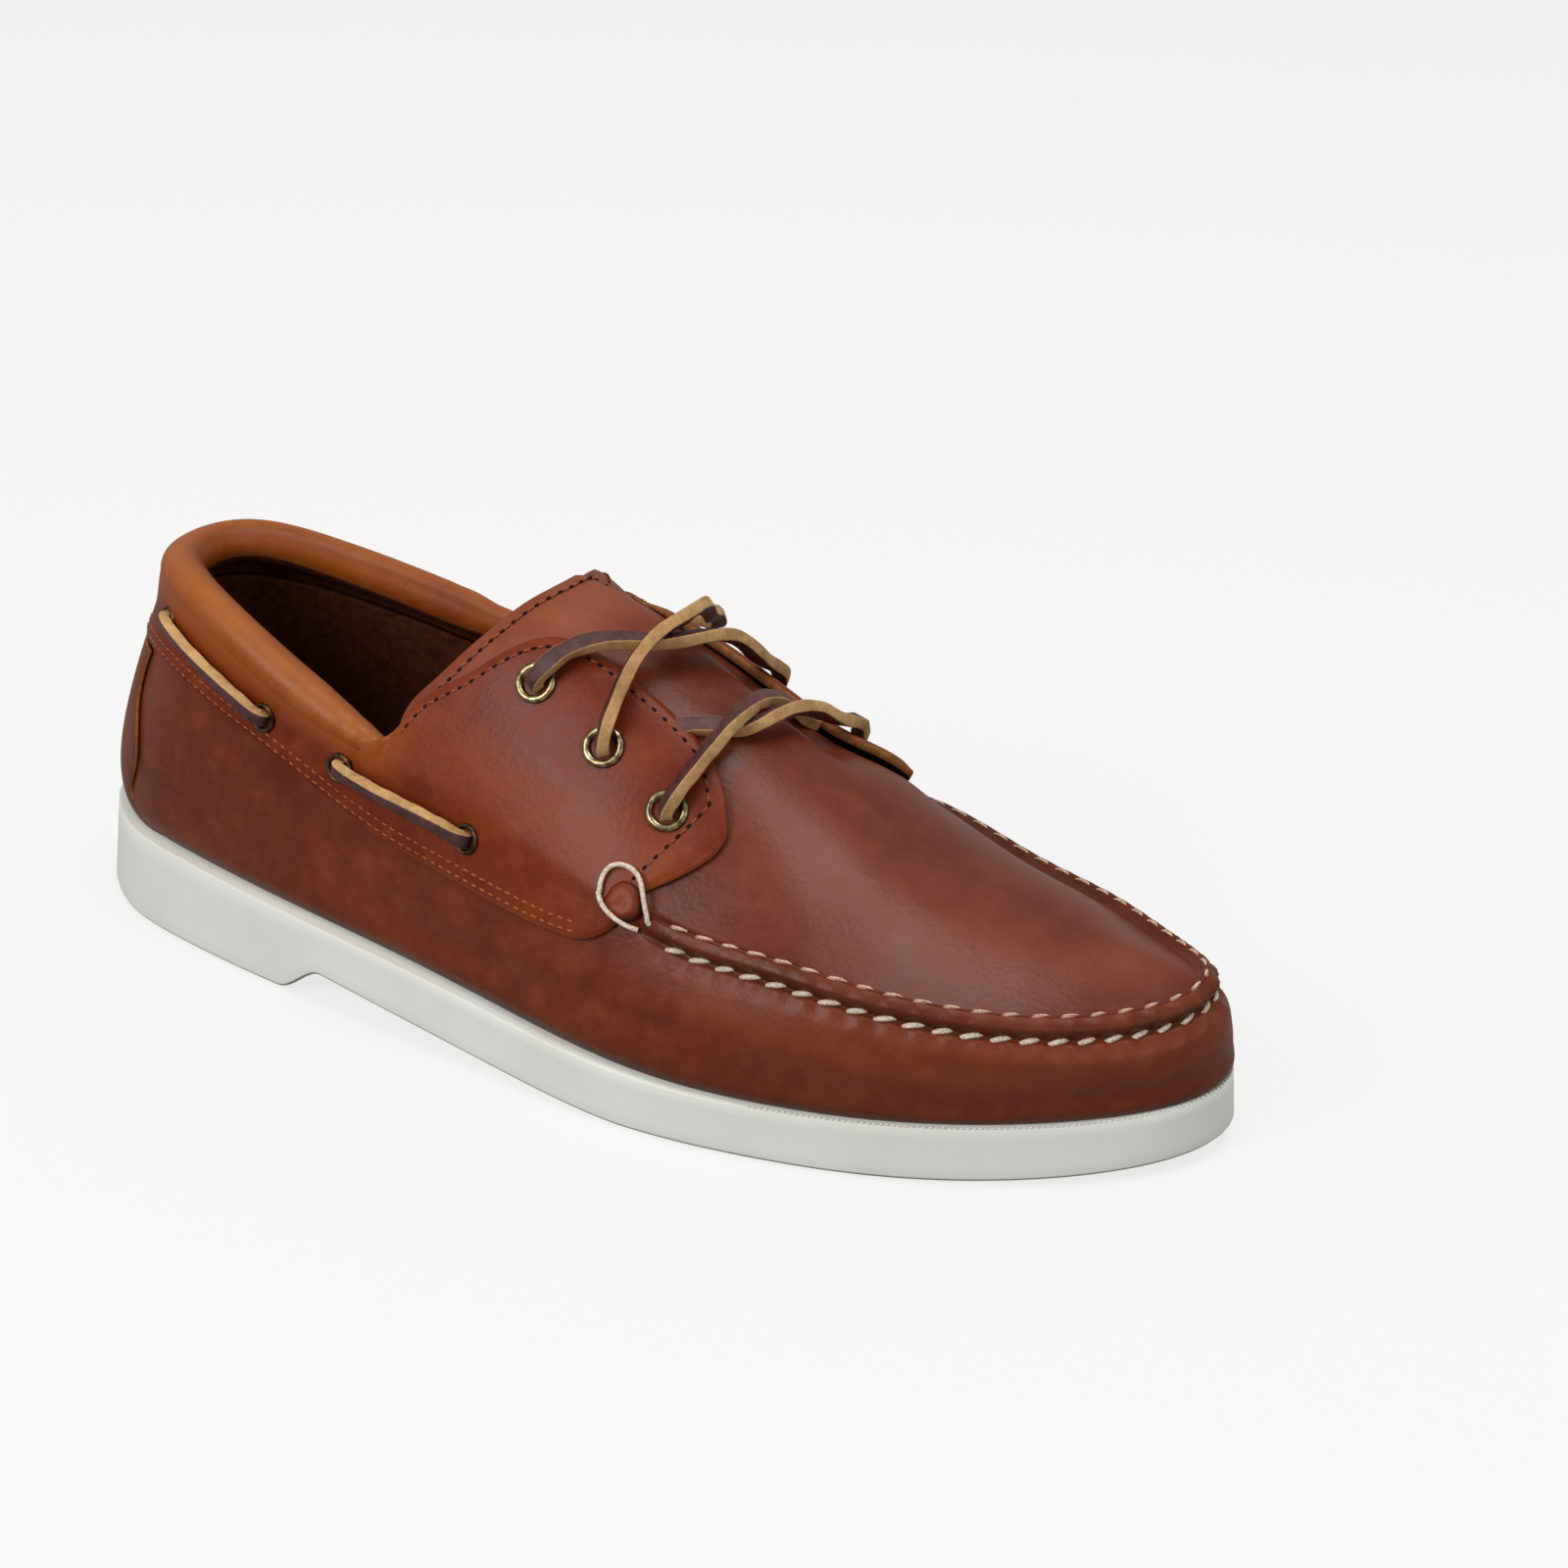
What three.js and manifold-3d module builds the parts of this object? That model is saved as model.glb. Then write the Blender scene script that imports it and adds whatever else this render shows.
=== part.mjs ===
import * as THREE from 'three';
import Module from 'manifold-3d';
import { mergeVertices } from 'three/addons/utils/BufferGeometryUtils.js';

// Boat shoe for the right foot: hand-sewn moccasin upper on a rubber unit sole.
// Millimetres, +Z up, +X to the toe, +Y to the inner side of the foot.

// Sizes of the last and the sole
const LENGTH = 295;
const BALL_WIDTH = 104;
const COLLAR_HEIGHT = 84;
const INSTEP_HEIGHT = 103.5;
const HEEL_THICKNESS = 22.4;
const FOREPART_THICKNESS = 12.2;
const ARCH_HEIGHT = 7.5;
const TOE_SPRING = 3.4;
const SOLE_EDGE = 1.0;
const SOLE_TAPER = 0.9;
const HEEL_TAPER = 1.6;

// Thickness of the leathers and the gap kept between pieces
const UPPER_WALL = 2.2;
const OVERLAY = 1.5;
const TONGUE_WALL = 2.0;
const BACKSTAY_WALL = 1.2;
const INSOLE_WALL = 3.0;
const CLEARANCE = 0.3;

// Moccasin seam, turned-under foot of the upper and padded collar
const SEAM_HEIGHT = 2.2;
const SEAM_WIDTH = 5.2;
const TUCK = 3.6;
const COLLAR_RADIUS = 5.2;
const COLLAR_END_RADIUS = 3.5;
const COLLAR_INSET = 1.2;
const OUTER_FLAP_LIFT = 0.6;
const INNER_FLAP_LIFT = 2.4;

// Metal eyelets of the flaps, small eyelets of the sides and the rawhide lace
const EYELET_BORE = 2.9;
const EYELET_BARREL = 0.5;
const EYELET_FLANGE = 1.3;
const EYELET_THICKNESS = 0.6;
const SIDE_BORE = 2.35;
const SIDE_BARREL = 0.4;
const SIDE_FLANGE = 0.75;
const SIDE_THICKNESS = 0.6;
const LACE_WIDTH = 3.1;
const LACE_THICKNESS = 2.3;

// Columns of a table, each under its own name
function table(names, rows) {
  return Object.fromEntries(names.map((name, i) => [name, rows.map((row) => row[i])]));
}

// Sole outline: half widths as shares of the ball width
const SOLE = table(['share', 'outer', 'inner'], [
  [0, 0, 0],
  [0.02, 0.110, 0.118],
  [0.07, 0.232, 0.240],
  [0.14, 0.308, 0.306],
  [0.24, 0.376, 0.318],
  [0.36, 0.438, 0.298],
  [0.48, 0.500, 0.317],
  [0.60, 0.550, 0.404],
  [0.70, 0.535, 0.450],
  [0.80, 0.473, 0.428],
  [0.89, 0.365, 0.335],
  [0.955, 0.236, 0.207],
  [0.99, 0.111, 0.098],
  [1, 0, 0],
]);

// Foot side of the sole: share of the way up from forepart to heel thickness
const SEAT = table(['share', 'rise'], [
  [0, 1],
  [0.1, 0.98],
  [0.2, 0.863],
  [0.3, 0.686],
  [0.4, 0.49],
  [0.52, 0.196],
  [0.65, 0],
  [0.8, 0.03],
  [0.9, 0.137],
  [1, 0.314],
]);

// Shoulder line, the collar behind and the moccasin seam in front:
// half widths as shares of the ball width, heights of the collar height
const SHOULDER = table(['share', 'outer', 'inner', 'outerHeight', 'innerHeight'], [
  [0, 0, 0, 1.036, 1.036],
  [0.03, 0.149, 0.149, 1.034, 1.032],
  [0.09, 0.238, 0.238, 0.994, 0.974],
  [0.18, 0.294, 0.304, 0.880, 0.888],
  [0.28, 0.331, 0.340, 0.766, 0.806],
  [0.38, 0.375, 0.370, 0.712, 0.738],
  [0.46, 0.413, 0.394, 0.650, 0.662],
  [0.54, 0.445, 0.411, 0.585, 0.582],
  [0.60, 0.457, 0.418, 0.530, 0.520],
  [0.68, 0.462, 0.415, 0.507, 0.488],
  [0.78, 0.442, 0.365, 0.472, 0.428],
  [0.86, 0.380, 0.298, 0.441, 0.409],
  [0.935, 0.274, 0.178, 0.427, 0.414],
  [0.98, 0.154, 0.072, 0.428, 0.434],
  [1, 0.038, -0.038, 0.446, 0.446],
]);
const SHOULDER_BACK = 0.094;
const SHOULDER_TOE = 0.977;

// Ridge of the instep: places as shares of the length
const RIDGE = table(['share', 'height', 'side'], [
  [0.339, 0.975, 0],
  [0.407, 0.982, 0],
  [0.458, 0.972, 0],
  [0.508, 0.922, -0.003],
  [0.559, 0.857, -0.006],
  [0.610, 0.778, -0.012],
  [0.678, 0.665, -0.022],
  [0.753, 0.552, -0.033],
  [0.820, 0.483, -0.040],
  [0.868, 0.446, -0.045],
]);

// Wall of the upper: how far its foot stands in from the sole edge, in mm,
// and the angles at which it reaches the shoulder and leaves it again
const WALL = table(['share', 'outer', 'inner', 'arrive', 'leave'], [
  [0, 2.6, 2.6, 66, 60],
  [0.05, 2.6, 2.6, 68, 62],
  [0.15, 2.6, 3.0, 74, 66],
  [0.30, 2.8, 3.2, 80, 70],
  [0.45, 2.3, 3.0, 74, 66],
  [0.60, 1.7, 2.2, 62, 50],
  [0.70, 1.6, 1.9, 53, 36],
  [0.80, 1.7, 1.8, 50, 26],
  [0.90, 1.9, 1.9, 50, 21],
  [0.98, 1.3, 1.3, 54, 18],
  [1, 1.1, 1.1, 56, 17],
]);

// Handles of the wall's curve: shares of the wall's height
const HANDLE = table(['share', 'rise', 'fall'], [
  [0, 0.10, 0.36],
  [0.35, 0.18, 0.40],
  [0.60, 0.30, 0.40],
  [0.80, 0.31, 0.45],
  [1, 0.32, 0.45],
]);

// Quarter with its lacing flap. The first column runs from the heel to the front edge,
// then come the lower and the upper edge: share along the shoulder and level on the wall,
// where 0 is the foot, 1 the shoulder and 2 the ridge.
const QUARTER = table(['way', 'low', 'lowLevel', 'high', 'highLevel'], [
  [0, 0, 0.745, 0, 1],
  [0.10, 0.040, 0.762, 0.035, 1],
  [0.22, 0.106, 0.757, 0.095, 1],
  [0.33, 0.164, 0.750, 0.150, 1],
  [0.43, 0.221, 0.733, 0.205, 1],
  [0.52, 0.279, 0.697, 0.262, 1],
  [0.58, 0.318, 0.670, 0.301, 1.075],
  [0.64, 0.352, 0.656, 0.330, 1.245],
  [0.71, 0.393, 0.650, 0.372, 1.395],
  [0.79, 0.440, 0.655, 0.439, 1.645],
  [0.85, 0.476, 0.665, 0.499, 1.662],
  [0.92, 0.515, 0.692, 0.560, 1.640],
  [0.97, 0.542, 0.765, 0.600, 1.550],
  [1, 0.556, 0.880, 0.618, 1.400],
]);
const FLAP_FRONT = table(['rise', 'share', 'level'], [
  [0, 0.556, 0.88],
  [0.25, 0.562, 1.04],
  [0.50, 0.578, 1.14],
  [0.75, 0.605, 1.255],
  [0.90, 0.616, 1.33],
  [1, 0.618, 1.40],
]);
const TONGUE_END = table(['level', 'share'], [
  [1.04, 0.305],
  [1.12, 0.306],
  [1.225, 0.315],
  [1.315, 0.331],
  [1.40, 0.345],
  [1.485, 0.358],
  [1.575, 0.371],
  [1.665, 0.382],
  [1.755, 0.392],
  [1.845, 0.401],
  [1.945, 0.407],
  [2, 0.408],
]);
const BACKSTAY = table(['level', 'share'], [
  [0.08, 0.085],
  [0.14, 0.062],
  [0.30, 0.055],
  [0.45, 0.050],
  [0.60, 0.032],
  [0.715, 0.030],
]);

// Eyelets by share along the shoulder and level
const EYELETS = [[0.432, 1.445], [0.505, 1.375], [0.570, 1.335]];
const SIDE_HOLES = [[0.049, 0.885], [0.175, 0.845], [0.259, 0.86], [0.402, 0.86]];

// The inner flap reaches further to the front than the outer one
const FLAP_BACK = 0.301;
const INNER_REACH = 0.18;
const PLUG_START = 0.5;
const TONGUE_FRONT = 0.497;
const OUTER = 1;
const INNER = -1;
const TURN = 2 * Math.PI;

const clamp = (value, low, high) => Math.min(Math.max(value, low), high);
const smooth = (value) => THREE.MathUtils.smoothstep(value, 0, 1);

// Solution of a set of linear equations
function solve(matrix, right) {
  const rows = matrix.map((row, i) => [...row, right[i]]);
  const size = rows.length;
  for (let i = 0; i < size; i++) {
    for (let j = i + 1; j < size; j++) {
      if (Math.abs(rows[j][i]) > Math.abs(rows[i][i])) [rows[i], rows[j]] = [rows[j], rows[i]];
    }
    for (let j = 0; j < size; j++) {
      if (j === i) continue;
      const factor = rows[j][i] / rows[i][i];
      rows[j] = rows[j].map((value, k) => value - factor * rows[i][k]);
    }
  }
  return rows.map((row, i) => row[size] / row[i]);
}

// Smooth curve through a table's values: cubic pieces that meet with one slope and one bend.
// With a period it closes on itself.
function spline(places, values, period = 0) {
  const count = places.length;
  const closed = period > 0;
  const gap = (i) => (i === count - 1 ? places[0] + period : places[i + 1]) - places[i];
  const matrix = [];
  const right = [];
  for (let i = 0; i < count; i++) {
    const row = new Array(count).fill(0);
    if (!closed && (i === 0 || i === count - 1)) {
      row[i] = 1;
      right.push(0);
    } else {
      const before = (i - 1 + count) % count;
      const after = (i + 1) % count;
      row[before] += gap(before);
      row[i] += 2 * (gap(before) + gap(i));
      row[after] += gap(i);
      right.push(6 * ((values[after] - values[i]) / gap(i) - (values[i] - values[before]) / gap(before)));
    }
    matrix.push(row);
  }
  const bends = solve(matrix, right);
  return (place) => {
    const x = closed ? places[0] + ((place - places[0]) % period + period) % period : place;
    let i = closed ? count - 1 : count - 2;
    while (i > 0 && x < places[i]) i--;
    const after = (i + 1) % count;
    const width = gap(i);
    const a = (places[i] + width - x) / width;
    const b = 1 - a;
    const bend = ((a ** 3 - a) * bends[i] + (b ** 3 - b) * bends[after]) * width * width / 6;
    return a * values[i] + b * values[after] + bend;
  };
}

// Curve round the shoe: the outer column runs from heel to toe, the inner one back
function ring(share, outer, inner) {
  const angles = share.map((value) => Math.acos(1 - 2 * value));
  const back = (values) => values.slice(1, -1).reverse();
  return spline([...angles, ...back(angles).map((a) => TURN - a)], [...outer, ...back(inner)], TURN);
}

const soleSide = ring(SOLE.share, SOLE.outer.map((y) => -y), SOLE.inner);
const shoulderSide = ring(SHOULDER.share, SHOULDER.outer.map((y) => -y), SHOULDER.inner);
const shoulderHeight = ring(SHOULDER.share, SHOULDER.outerHeight, SHOULDER.innerHeight);
const footInset = ring(WALL.share, WALL.outer, WALL.inner);
const arriveAngle = ring(WALL.share, WALL.arrive, WALL.arrive);
const leaveAngle = ring(WALL.share, WALL.leave, WALL.leave);
const handleRise = spline(HANDLE.share, HANDLE.rise);
const handleFall = spline(HANDLE.share, HANDLE.fall);
const seatRise = spline(SEAT.share, SEAT.rise);
const ridgeRise = spline(RIDGE.share, RIDGE.height);
const ridgeSide = spline(RIDGE.share, RIDGE.side);
const ridgeHeight = (x) => INSTEP_HEIGHT * ridgeRise(x / LENGTH);
const seatHeight = (x) => FOREPART_THICKNESS + (HEEL_THICKNESS - FOREPART_THICKNESS) * seatRise(x / LENGTH);

// Angle round the shoe from the heel centre, positive on the outer side
const shareAt = (angle) => (1 - Math.cos(angle)) / 2;
const angleAt = (side, share) => side * Math.acos(1 - 2 * share);

function solePoint(angle) {
  return new THREE.Vector2(LENGTH * shareAt(angle), BALL_WIDTH * soleSide(angle));
}

function outward(angle) {
  const step = 0.001;
  const along = solePoint(angle + step).sub(solePoint(angle - step));
  return new THREE.Vector2(along.y, -along.x).normalize();
}

// Underside of the sole: flat heel and forepart, hollow arch and toe spring
function underside(x) {
  const s = x / LENGTH;
  const breast = smooth((s - 0.255) / 0.05);
  const arch = ARCH_HEIGHT * breast * (1 - clamp((s - 0.3) / 0.3, 0, 1)) ** 1.25;
  return arch + TOE_SPRING * clamp((s - 0.74) / 0.26, 0, 1) ** 2;
}

function shoulderPoint(angle) {
  const x = LENGTH * THREE.MathUtils.lerp(SHOULDER_BACK, SHOULDER_TOE, shareAt(angle));
  return new THREE.Vector3(x, BALL_WIDTH * shoulderSide(angle), COLLAR_HEIGHT * shoulderHeight(angle));
}

// Wall of the last from its foot on the sole to the shoulder
function wallCurve(angle) {
  const edge = solePoint(angle);
  const out = outward(angle);
  const share = edge.x / LENGTH;
  const start = edge.clone().addScaledVector(out, -footInset(angle) - TUCK);
  const foot = new THREE.Vector3(start.x, start.y, seatHeight(edge.x) + CLEARANCE);
  const shoulder = shoulderPoint(angle);
  const height = shoulder.z - foot.z;
  const bulge = foot.clone();
  bulge.x += out.x * TUCK * 1.6;
  bulge.y += out.y * TUCK * 1.6;
  bulge.z += height * handleRise(share);
  const slope = THREE.MathUtils.degToRad(arriveAngle(angle));
  const reach = height * handleFall(share);
  const below = shoulder.clone();
  below.x += out.x * Math.cos(slope) * reach;
  below.y += out.y * Math.cos(slope) * reach;
  below.z -= Math.sin(slope) * reach;
  return new THREE.CubicBezierCurve3(foot, bulge, below, shoulder);
}

// Top of the last from the shoulder to the ridge. All curves past the ridge's front end
// meet in that end, so that they close the toe.
function topCurve(angle) {
  const shoulder = shoulderPoint(angle);
  const x = clamp(shoulder.x, LENGTH * RIDGE.share[0], LENGTH * RIDGE.share.at(-1));
  const ridge = new THREE.Vector3(x, BALL_WIDTH * ridgeSide(x / LENGTH), ridgeHeight(x));
  const pitch = ridgeHeight(x + 0.5) - ridgeHeight(x - 0.5);
  const way = new THREE.Vector2(ridge.x - shoulder.x, ridge.y - shoulder.y);
  const distance = way.length();
  way.normalize();
  const degrees = leaveAngle(angle);
  const slope = THREE.MathUtils.degToRad(degrees);
  const share = THREE.MathUtils.mapLinear(clamp(degrees, 15, 70), 15, 70, 1, 0.75);
  const reach = distance * 0.38 * share / Math.max(Math.cos(slope), 0.45);
  const above = shoulder.clone();
  above.x += way.x * Math.cos(slope) * reach;
  above.y += way.y * Math.cos(slope) * reach;
  above.z += Math.sin(slope) * reach;
  const before = ridge.clone();
  before.x -= way.x * distance / 2;
  before.y -= way.y * distance / 2;
  before.z -= pitch * way.x * distance / 2;
  return new THREE.CubicBezierCurve3(shoulder, above, before, ridge);
}

function formPoint(angle, level) {
  if (level <= 1) return wallCurve(angle).getPoint(Math.max(level, 0));
  return topCurve(angle).getPoint(Math.min(level, 2) - 1);
}

// Direction straight out of the last. On the ridge it follows from the ridge's slope.
function formNormal(angle, level) {
  if (level > 1.999) {
    const x = formPoint(angle, 2).x;
    return new THREE.Vector3(ridgeHeight(x - 0.5) - ridgeHeight(x + 0.5), 0, 1).normalize();
  }
  const step = 0.001;
  const place = clamp(level, 2 * step, 1.99);
  const round = formPoint(angle + step, place).sub(formPoint(angle - step, place));
  const up = formPoint(angle, place + step).sub(formPoint(angle, place - step));
  return round.cross(up).normalize();
}

function layer(angle, level, height) {
  return formPoint(angle, level).addScaledVector(formNormal(angle, level), height);
}

// Closed mesh from corner points and triangles, turned so that its faces point out
function closedMesh(points, triangles) {
  let volume = 0;
  for (const [a, b, c] of triangles) {
    volume += points[a].dot(points[b].clone().cross(points[c]));
  }
  const facing = volume < 0 ? triangles.map(([a, b, c]) => [a, c, b]) : triangles;
  const geometry = new THREE.BufferGeometry();
  geometry.setAttribute('position', new THREE.Float32BufferAttribute(points.flatMap((p) => p.toArray()), 3));
  geometry.setIndex(facing.flat());
  return geometry;
}

// Sheet of leather with its true thickness. Corners that lie in one place become one,
// and a strip closes every free edge between the outer and the inner face.
function sheet(quads, outer, inner) {
  const known = new Map();
  const top = [];
  const under = [];
  const cornerOf = (i) => {
    const key = outer[i].toArray().map((value) => Math.round(value * 1e4)).join();
    if (!known.has(key)) {
      known.set(key, top.length);
      top.push(outer[i]);
      under.push(inner[i]);
    }
    return known.get(key);
  };
  const faces = [];
  for (const [a, b, c, d] of quads.map((quad) => quad.map(cornerOf))) {
    for (const face of [[a, b, c], [a, c, d]]) {
      if (new Set(face).size === 3) faces.push(face);
    }
  }
  const sidesOf = ([a, b, c]) => [[a, b], [b, c], [c, a]];
  const edges = new Set(faces.flatMap((face) => sidesOf(face).map(String)));
  const count = top.length;
  const triangles = [...faces];
  for (const face of faces) {
    triangles.push([face[0] + count, face[2] + count, face[1] + count]);
    for (const [from, to] of sidesOf(face)) {
      if (edges.has(String([to, from]))) continue;
      triangles.push([to, from, from + count], [to, from + count, to + count]);
    }
  }
  return closedMesh([...top, ...under], triangles);
}

// Corner numbers of the quads of a grid, round being the number of its columns
function gridQuads(columns, rows, wraps = false, keep = () => true) {
  const quads = [];
  for (let i = 0; i < (wraps ? columns : columns - 1); i++) {
    const next = (i + 1) % columns;
    for (let j = 0; j < rows - 1; j++) {
      if (keep(i, next, j)) {
        quads.push([i * rows + j, next * rows + j, next * rows + j + 1, i * rows + j + 1]);
      }
    }
  }
  return quads;
}

// Solid through closed sections of equal count, with a fan over each end
function sweep(sections) {
  const count = sections[0].length;
  const points = sections.flat();
  const triangles = [];
  for (let i = 0; i < sections.length - 1; i++) {
    for (let j = 0; j < count; j++) {
      const [a, b] = [i * count + j, i * count + (j + 1) % count];
      triangles.push([a, b, b + count], [a, b + count, a + count]);
    }
  }
  const last = count * (sections.length - 1);
  for (let j = 1; j < count - 1; j++) {
    triangles.push([0, j + 1, j], [last, last + j, last + j + 1]);
  }
  return closedMesh(points, triangles);
}

// Solid through rings round the shoe, closed above and below from side to side
function soleSolid(rings) {
  const count = rings[0].length;
  const half = count / 2;
  const points = rings.flat();
  const triangles = [];
  for (let i = 0; i < rings.length - 1; i++) {
    for (let j = 0; j < count; j++) {
      const [a, b] = [i * count + j, i * count + (j + 1) % count];
      triangles.push([a, b, b + count], [a, b + count, a + count]);
    }
  }
  const last = count * (rings.length - 1);
  for (let j = 0; j < half; j++) {
    const quad = [j, j + 1, (count - j - 1) % count, (count - j) % count];
    for (const [a, b, c] of [[quad[0], quad[1], quad[2]], [quad[0], quad[2], quad[3]]]) {
      if (a === b || b === c || c === a) continue;
      triangles.push([a, c, b], [last + a, last + b, last + c]);
    }
  }
  return closedMesh(points, triangles);
}

const wasm = await Module();
wasm.setup();

function toSolid(geometry) {
  const bare = geometry.clone();
  bare.deleteAttribute('normal');
  bare.deleteAttribute('uv');
  const merged = mergeVertices(bare, 1e-5);
  return new wasm.Manifold(new wasm.Mesh({
    numProp: 3,
    vertProperties: new Float32Array(merged.attributes.position.array),
    triVerts: new Uint32Array(merged.index.array),
  }));
}

function toGeometry(solid) {
  const mesh = solid.getMesh();
  const geometry = new THREE.BufferGeometry();
  geometry.setAttribute('position', new THREE.BufferAttribute(mesh.vertProperties, 3));
  geometry.setIndex(new THREE.BufferAttribute(mesh.triVerts, 1));
  return geometry;
}

const shoe = new THREE.Group();

function addPiece(name, geometry, color, roughness, metalness = 0) {
  const material = new THREE.MeshStandardMaterial({ color, roughness, metalness });
  const mesh = new THREE.Mesh(geometry, material);
  mesh.name = name;
  shoe.add(mesh);
  return mesh;
}

// Angles round the shoe in equal steps, with extra ones where the arch begins
function stations(count, extra = []) {
  const half = Array.from({ length: count / 2 + 1 }, (_, i) => i * TURN / count);
  half.push(...extra.map((share) => angleAt(OUTER, share)));
  half.sort((a, b) => a - b);
  return [...half, ...half.slice(1, -1).reverse().map((angle) => -angle)];
}

// Ring round the shoe at an inset from the sole outline
function outlineRing(angles, inset, height) {
  return angles.map((angle) => {
    const point = solePoint(angle).addScaledVector(outward(angle), -inset(angle));
    return new THREE.Vector3(point.x, point.y, height(point.x));
  });
}

// Rubber unit sole with a rounded lower edge and a side that leans in at the top
const soleAngles = stations(72, [0.262, 0.27, 0.28, 0.29, 0.298]);
const lean = (angle) => SOLE_TAPER + HEEL_TAPER * clamp(1 - shareAt(angle) / 0.12, 0, 1) ** 2;
const sole = soleSolid([
  outlineRing(soleAngles, () => SOLE_EDGE, underside),
  outlineRing(soleAngles, () => 0.3 * SOLE_EDGE, (x) => underside(x) + 0.3 * SOLE_EDGE),
  outlineRing(soleAngles, () => 0, (x) => underside(x) + SOLE_EDGE),
  outlineRing(soleAngles, lean, (x) => seatHeight(x) - SOLE_EDGE / 2),
  outlineRing(soleAngles, (angle) => lean(angle) + SOLE_EDGE / 2, seatHeight),
]);
addPiece('outsole', sole, 0xd5d6cf, 0.75);

// Leather-covered insole inside the foot of the upper
const insoleInset = (angle) => footInset(angle) + TUCK + UPPER_WALL + 2 * CLEARANCE;
const insoleAngles = stations(60);
const insole = soleSolid([
  outlineRing(insoleAngles, insoleInset, (x) => seatHeight(x) + CLEARANCE),
  outlineRing(insoleAngles, insoleInset, (x) => seatHeight(x) + CLEARANCE + INSOLE_WALL),
]);
addPiece('insole', insole, 0x5a3522, 0.8);

// Where the flap of one side ends in front at a share chosen on the outer side
function flapShare(side, share, level) {
  const reach = side === INNER ? INNER_REACH * smooth((level - 0.7) / 0.3) : 0;
  return share + Math.max(share - FLAP_BACK, 0) * reach;
}

// Vamp and plug in one hollow piece: wall rows up to the seam or the topline,
// rows over the raised seam, and rows of the plug up to the ridge
const WALL_ROWS = [0, 0.12, 0.26, 0.42, 0.6, 0.8, 1];
const SEAM_ROWS = [-0.45, 0, 0.45, 1];
const PLUG_ROWS = [0.25, 0.5, 0.75, 1];
const UPPER_ROWS = WALL_ROWS.length + SEAM_ROWS.length + PLUG_ROWS.length;

function seamRise(angle, across) {
  const side = angle < 0 ? INNER : OUTER;
  const start = flapShare(side, FLAP_FRONT.share[1], 1) + 0.016;
  return SEAM_HEIGHT * (1 - across * across) * smooth((shareAt(angle) - start) / 0.035);
}

function upperColumn(angle) {
  const share = shareAt(angle);
  const wall = wallCurve(angle);
  const top = topCurve(angle);
  const before = SEAM_WIDTH / 2 / (3 * wall.v2.distanceTo(wall.v3));
  const after = SEAM_WIDTH / 2 / (3 * top.v0.distanceTo(top.v1));
  const hasPlug = share > PLUG_START - 1e-6;
  const topline = THREE.MathUtils.mapLinear(clamp(share, 0.28, 0.36), 0.28, 0.36, 0.86, 1);
  const wallEnd = hasPlug ? 1 - before : topline;
  return [
    ...WALL_ROWS.map((row) => [row * wallEnd, 0]),
    ...SEAM_ROWS.map((row) => [1 + row * (row < 0 ? before : after), seamRise(angle, row)]),
    ...PLUG_ROWS.map((row) => [1 + after + row * (1 - after), 0]),
  ];
}

const upperAngles = stations(72, [0.522, 0.565, 0.608, 0.65]);
const upperOuter = [];
const upperInner = [];
for (const angle of upperAngles) {
  for (const [level, rise] of upperColumn(angle)) {
    upperOuter.push(layer(angle, level, rise));
    upperInner.push(layer(angle, level, -UPPER_WALL));
  }
}
const isPlug = (i) => shareAt(upperAngles[i]) > PLUG_START - 1e-6;
const upperQuads = gridQuads(upperAngles.length, UPPER_ROWS, true, (i, next, j) => (
  j < WALL_ROWS.length - 1 || (isPlug(i) && isPlug(next))
));
addPiece('upper', sheet(upperQuads, upperOuter, upperInner), 0x6b3020, 0.6);

// Tongue over the instep, level with the plug and under both flaps
const TONGUE_COLUMNS = 11;
const TONGUE_ROWS = 23;
const tongueEnd = spline(TONGUE_END.level, TONGUE_END.share);
const tongueOuter = [];
const tongueInner = [];
for (let i = 0; i < TONGUE_COLUMNS; i++) {
  for (let j = 0; j < TONGUE_ROWS; j++) {
    const across = 2 * j / (TONGUE_ROWS - 1) - 1;
    const side = across < 0 ? OUTER : INNER;
    const level = 2 - (2 - TONGUE_END.level[0]) * Math.abs(across);
    const share = THREE.MathUtils.lerp(tongueEnd(level), TONGUE_FRONT, i / (TONGUE_COLUMNS - 1));
    const angle = angleAt(side, share);
    tongueOuter.push(layer(angle, level, -2 * CLEARANCE));
    tongueInner.push(layer(angle, level, -2 * CLEARANCE - TONGUE_WALL));
  }
}
addPiece('tongue', sheet(gridQuads(TONGUE_COLUMNS, TONGUE_ROWS), tongueOuter, tongueInner), 0x7a4330, 0.6);

// Place on a flap or side of the quarter
function onSide(side, share, level) {
  return angleAt(side, flapShare(side, share, level));
}

// How far the free front of a flap stands off the tongue
function flapLift(angle, level) {
  const lift = angle < 0 ? INNER_FLAP_LIFT : OUTER_FLAP_LIFT;
  return lift * smooth((level - 1.15) / 0.45) * smooth((shareAt(angle) - 0.46) / 0.2);
}

// Point at a height over the inside of the flap, and the direction straight out there
function flapPoint(angle, level, height) {
  return layer(angle, level, flapLift(angle, level)).addScaledVector(flapNormal(angle, level), height);
}

function flapNormal(angle, level) {
  const step = 0.004;
  const lifted = (a, l) => layer(a, l, flapLift(a, l));
  const round = lifted(angle + step, level).sub(lifted(angle - step, level));
  const up = lifted(angle, level + step).sub(lifted(angle, level - step));
  return round.cross(up).normalize();
}

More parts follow.
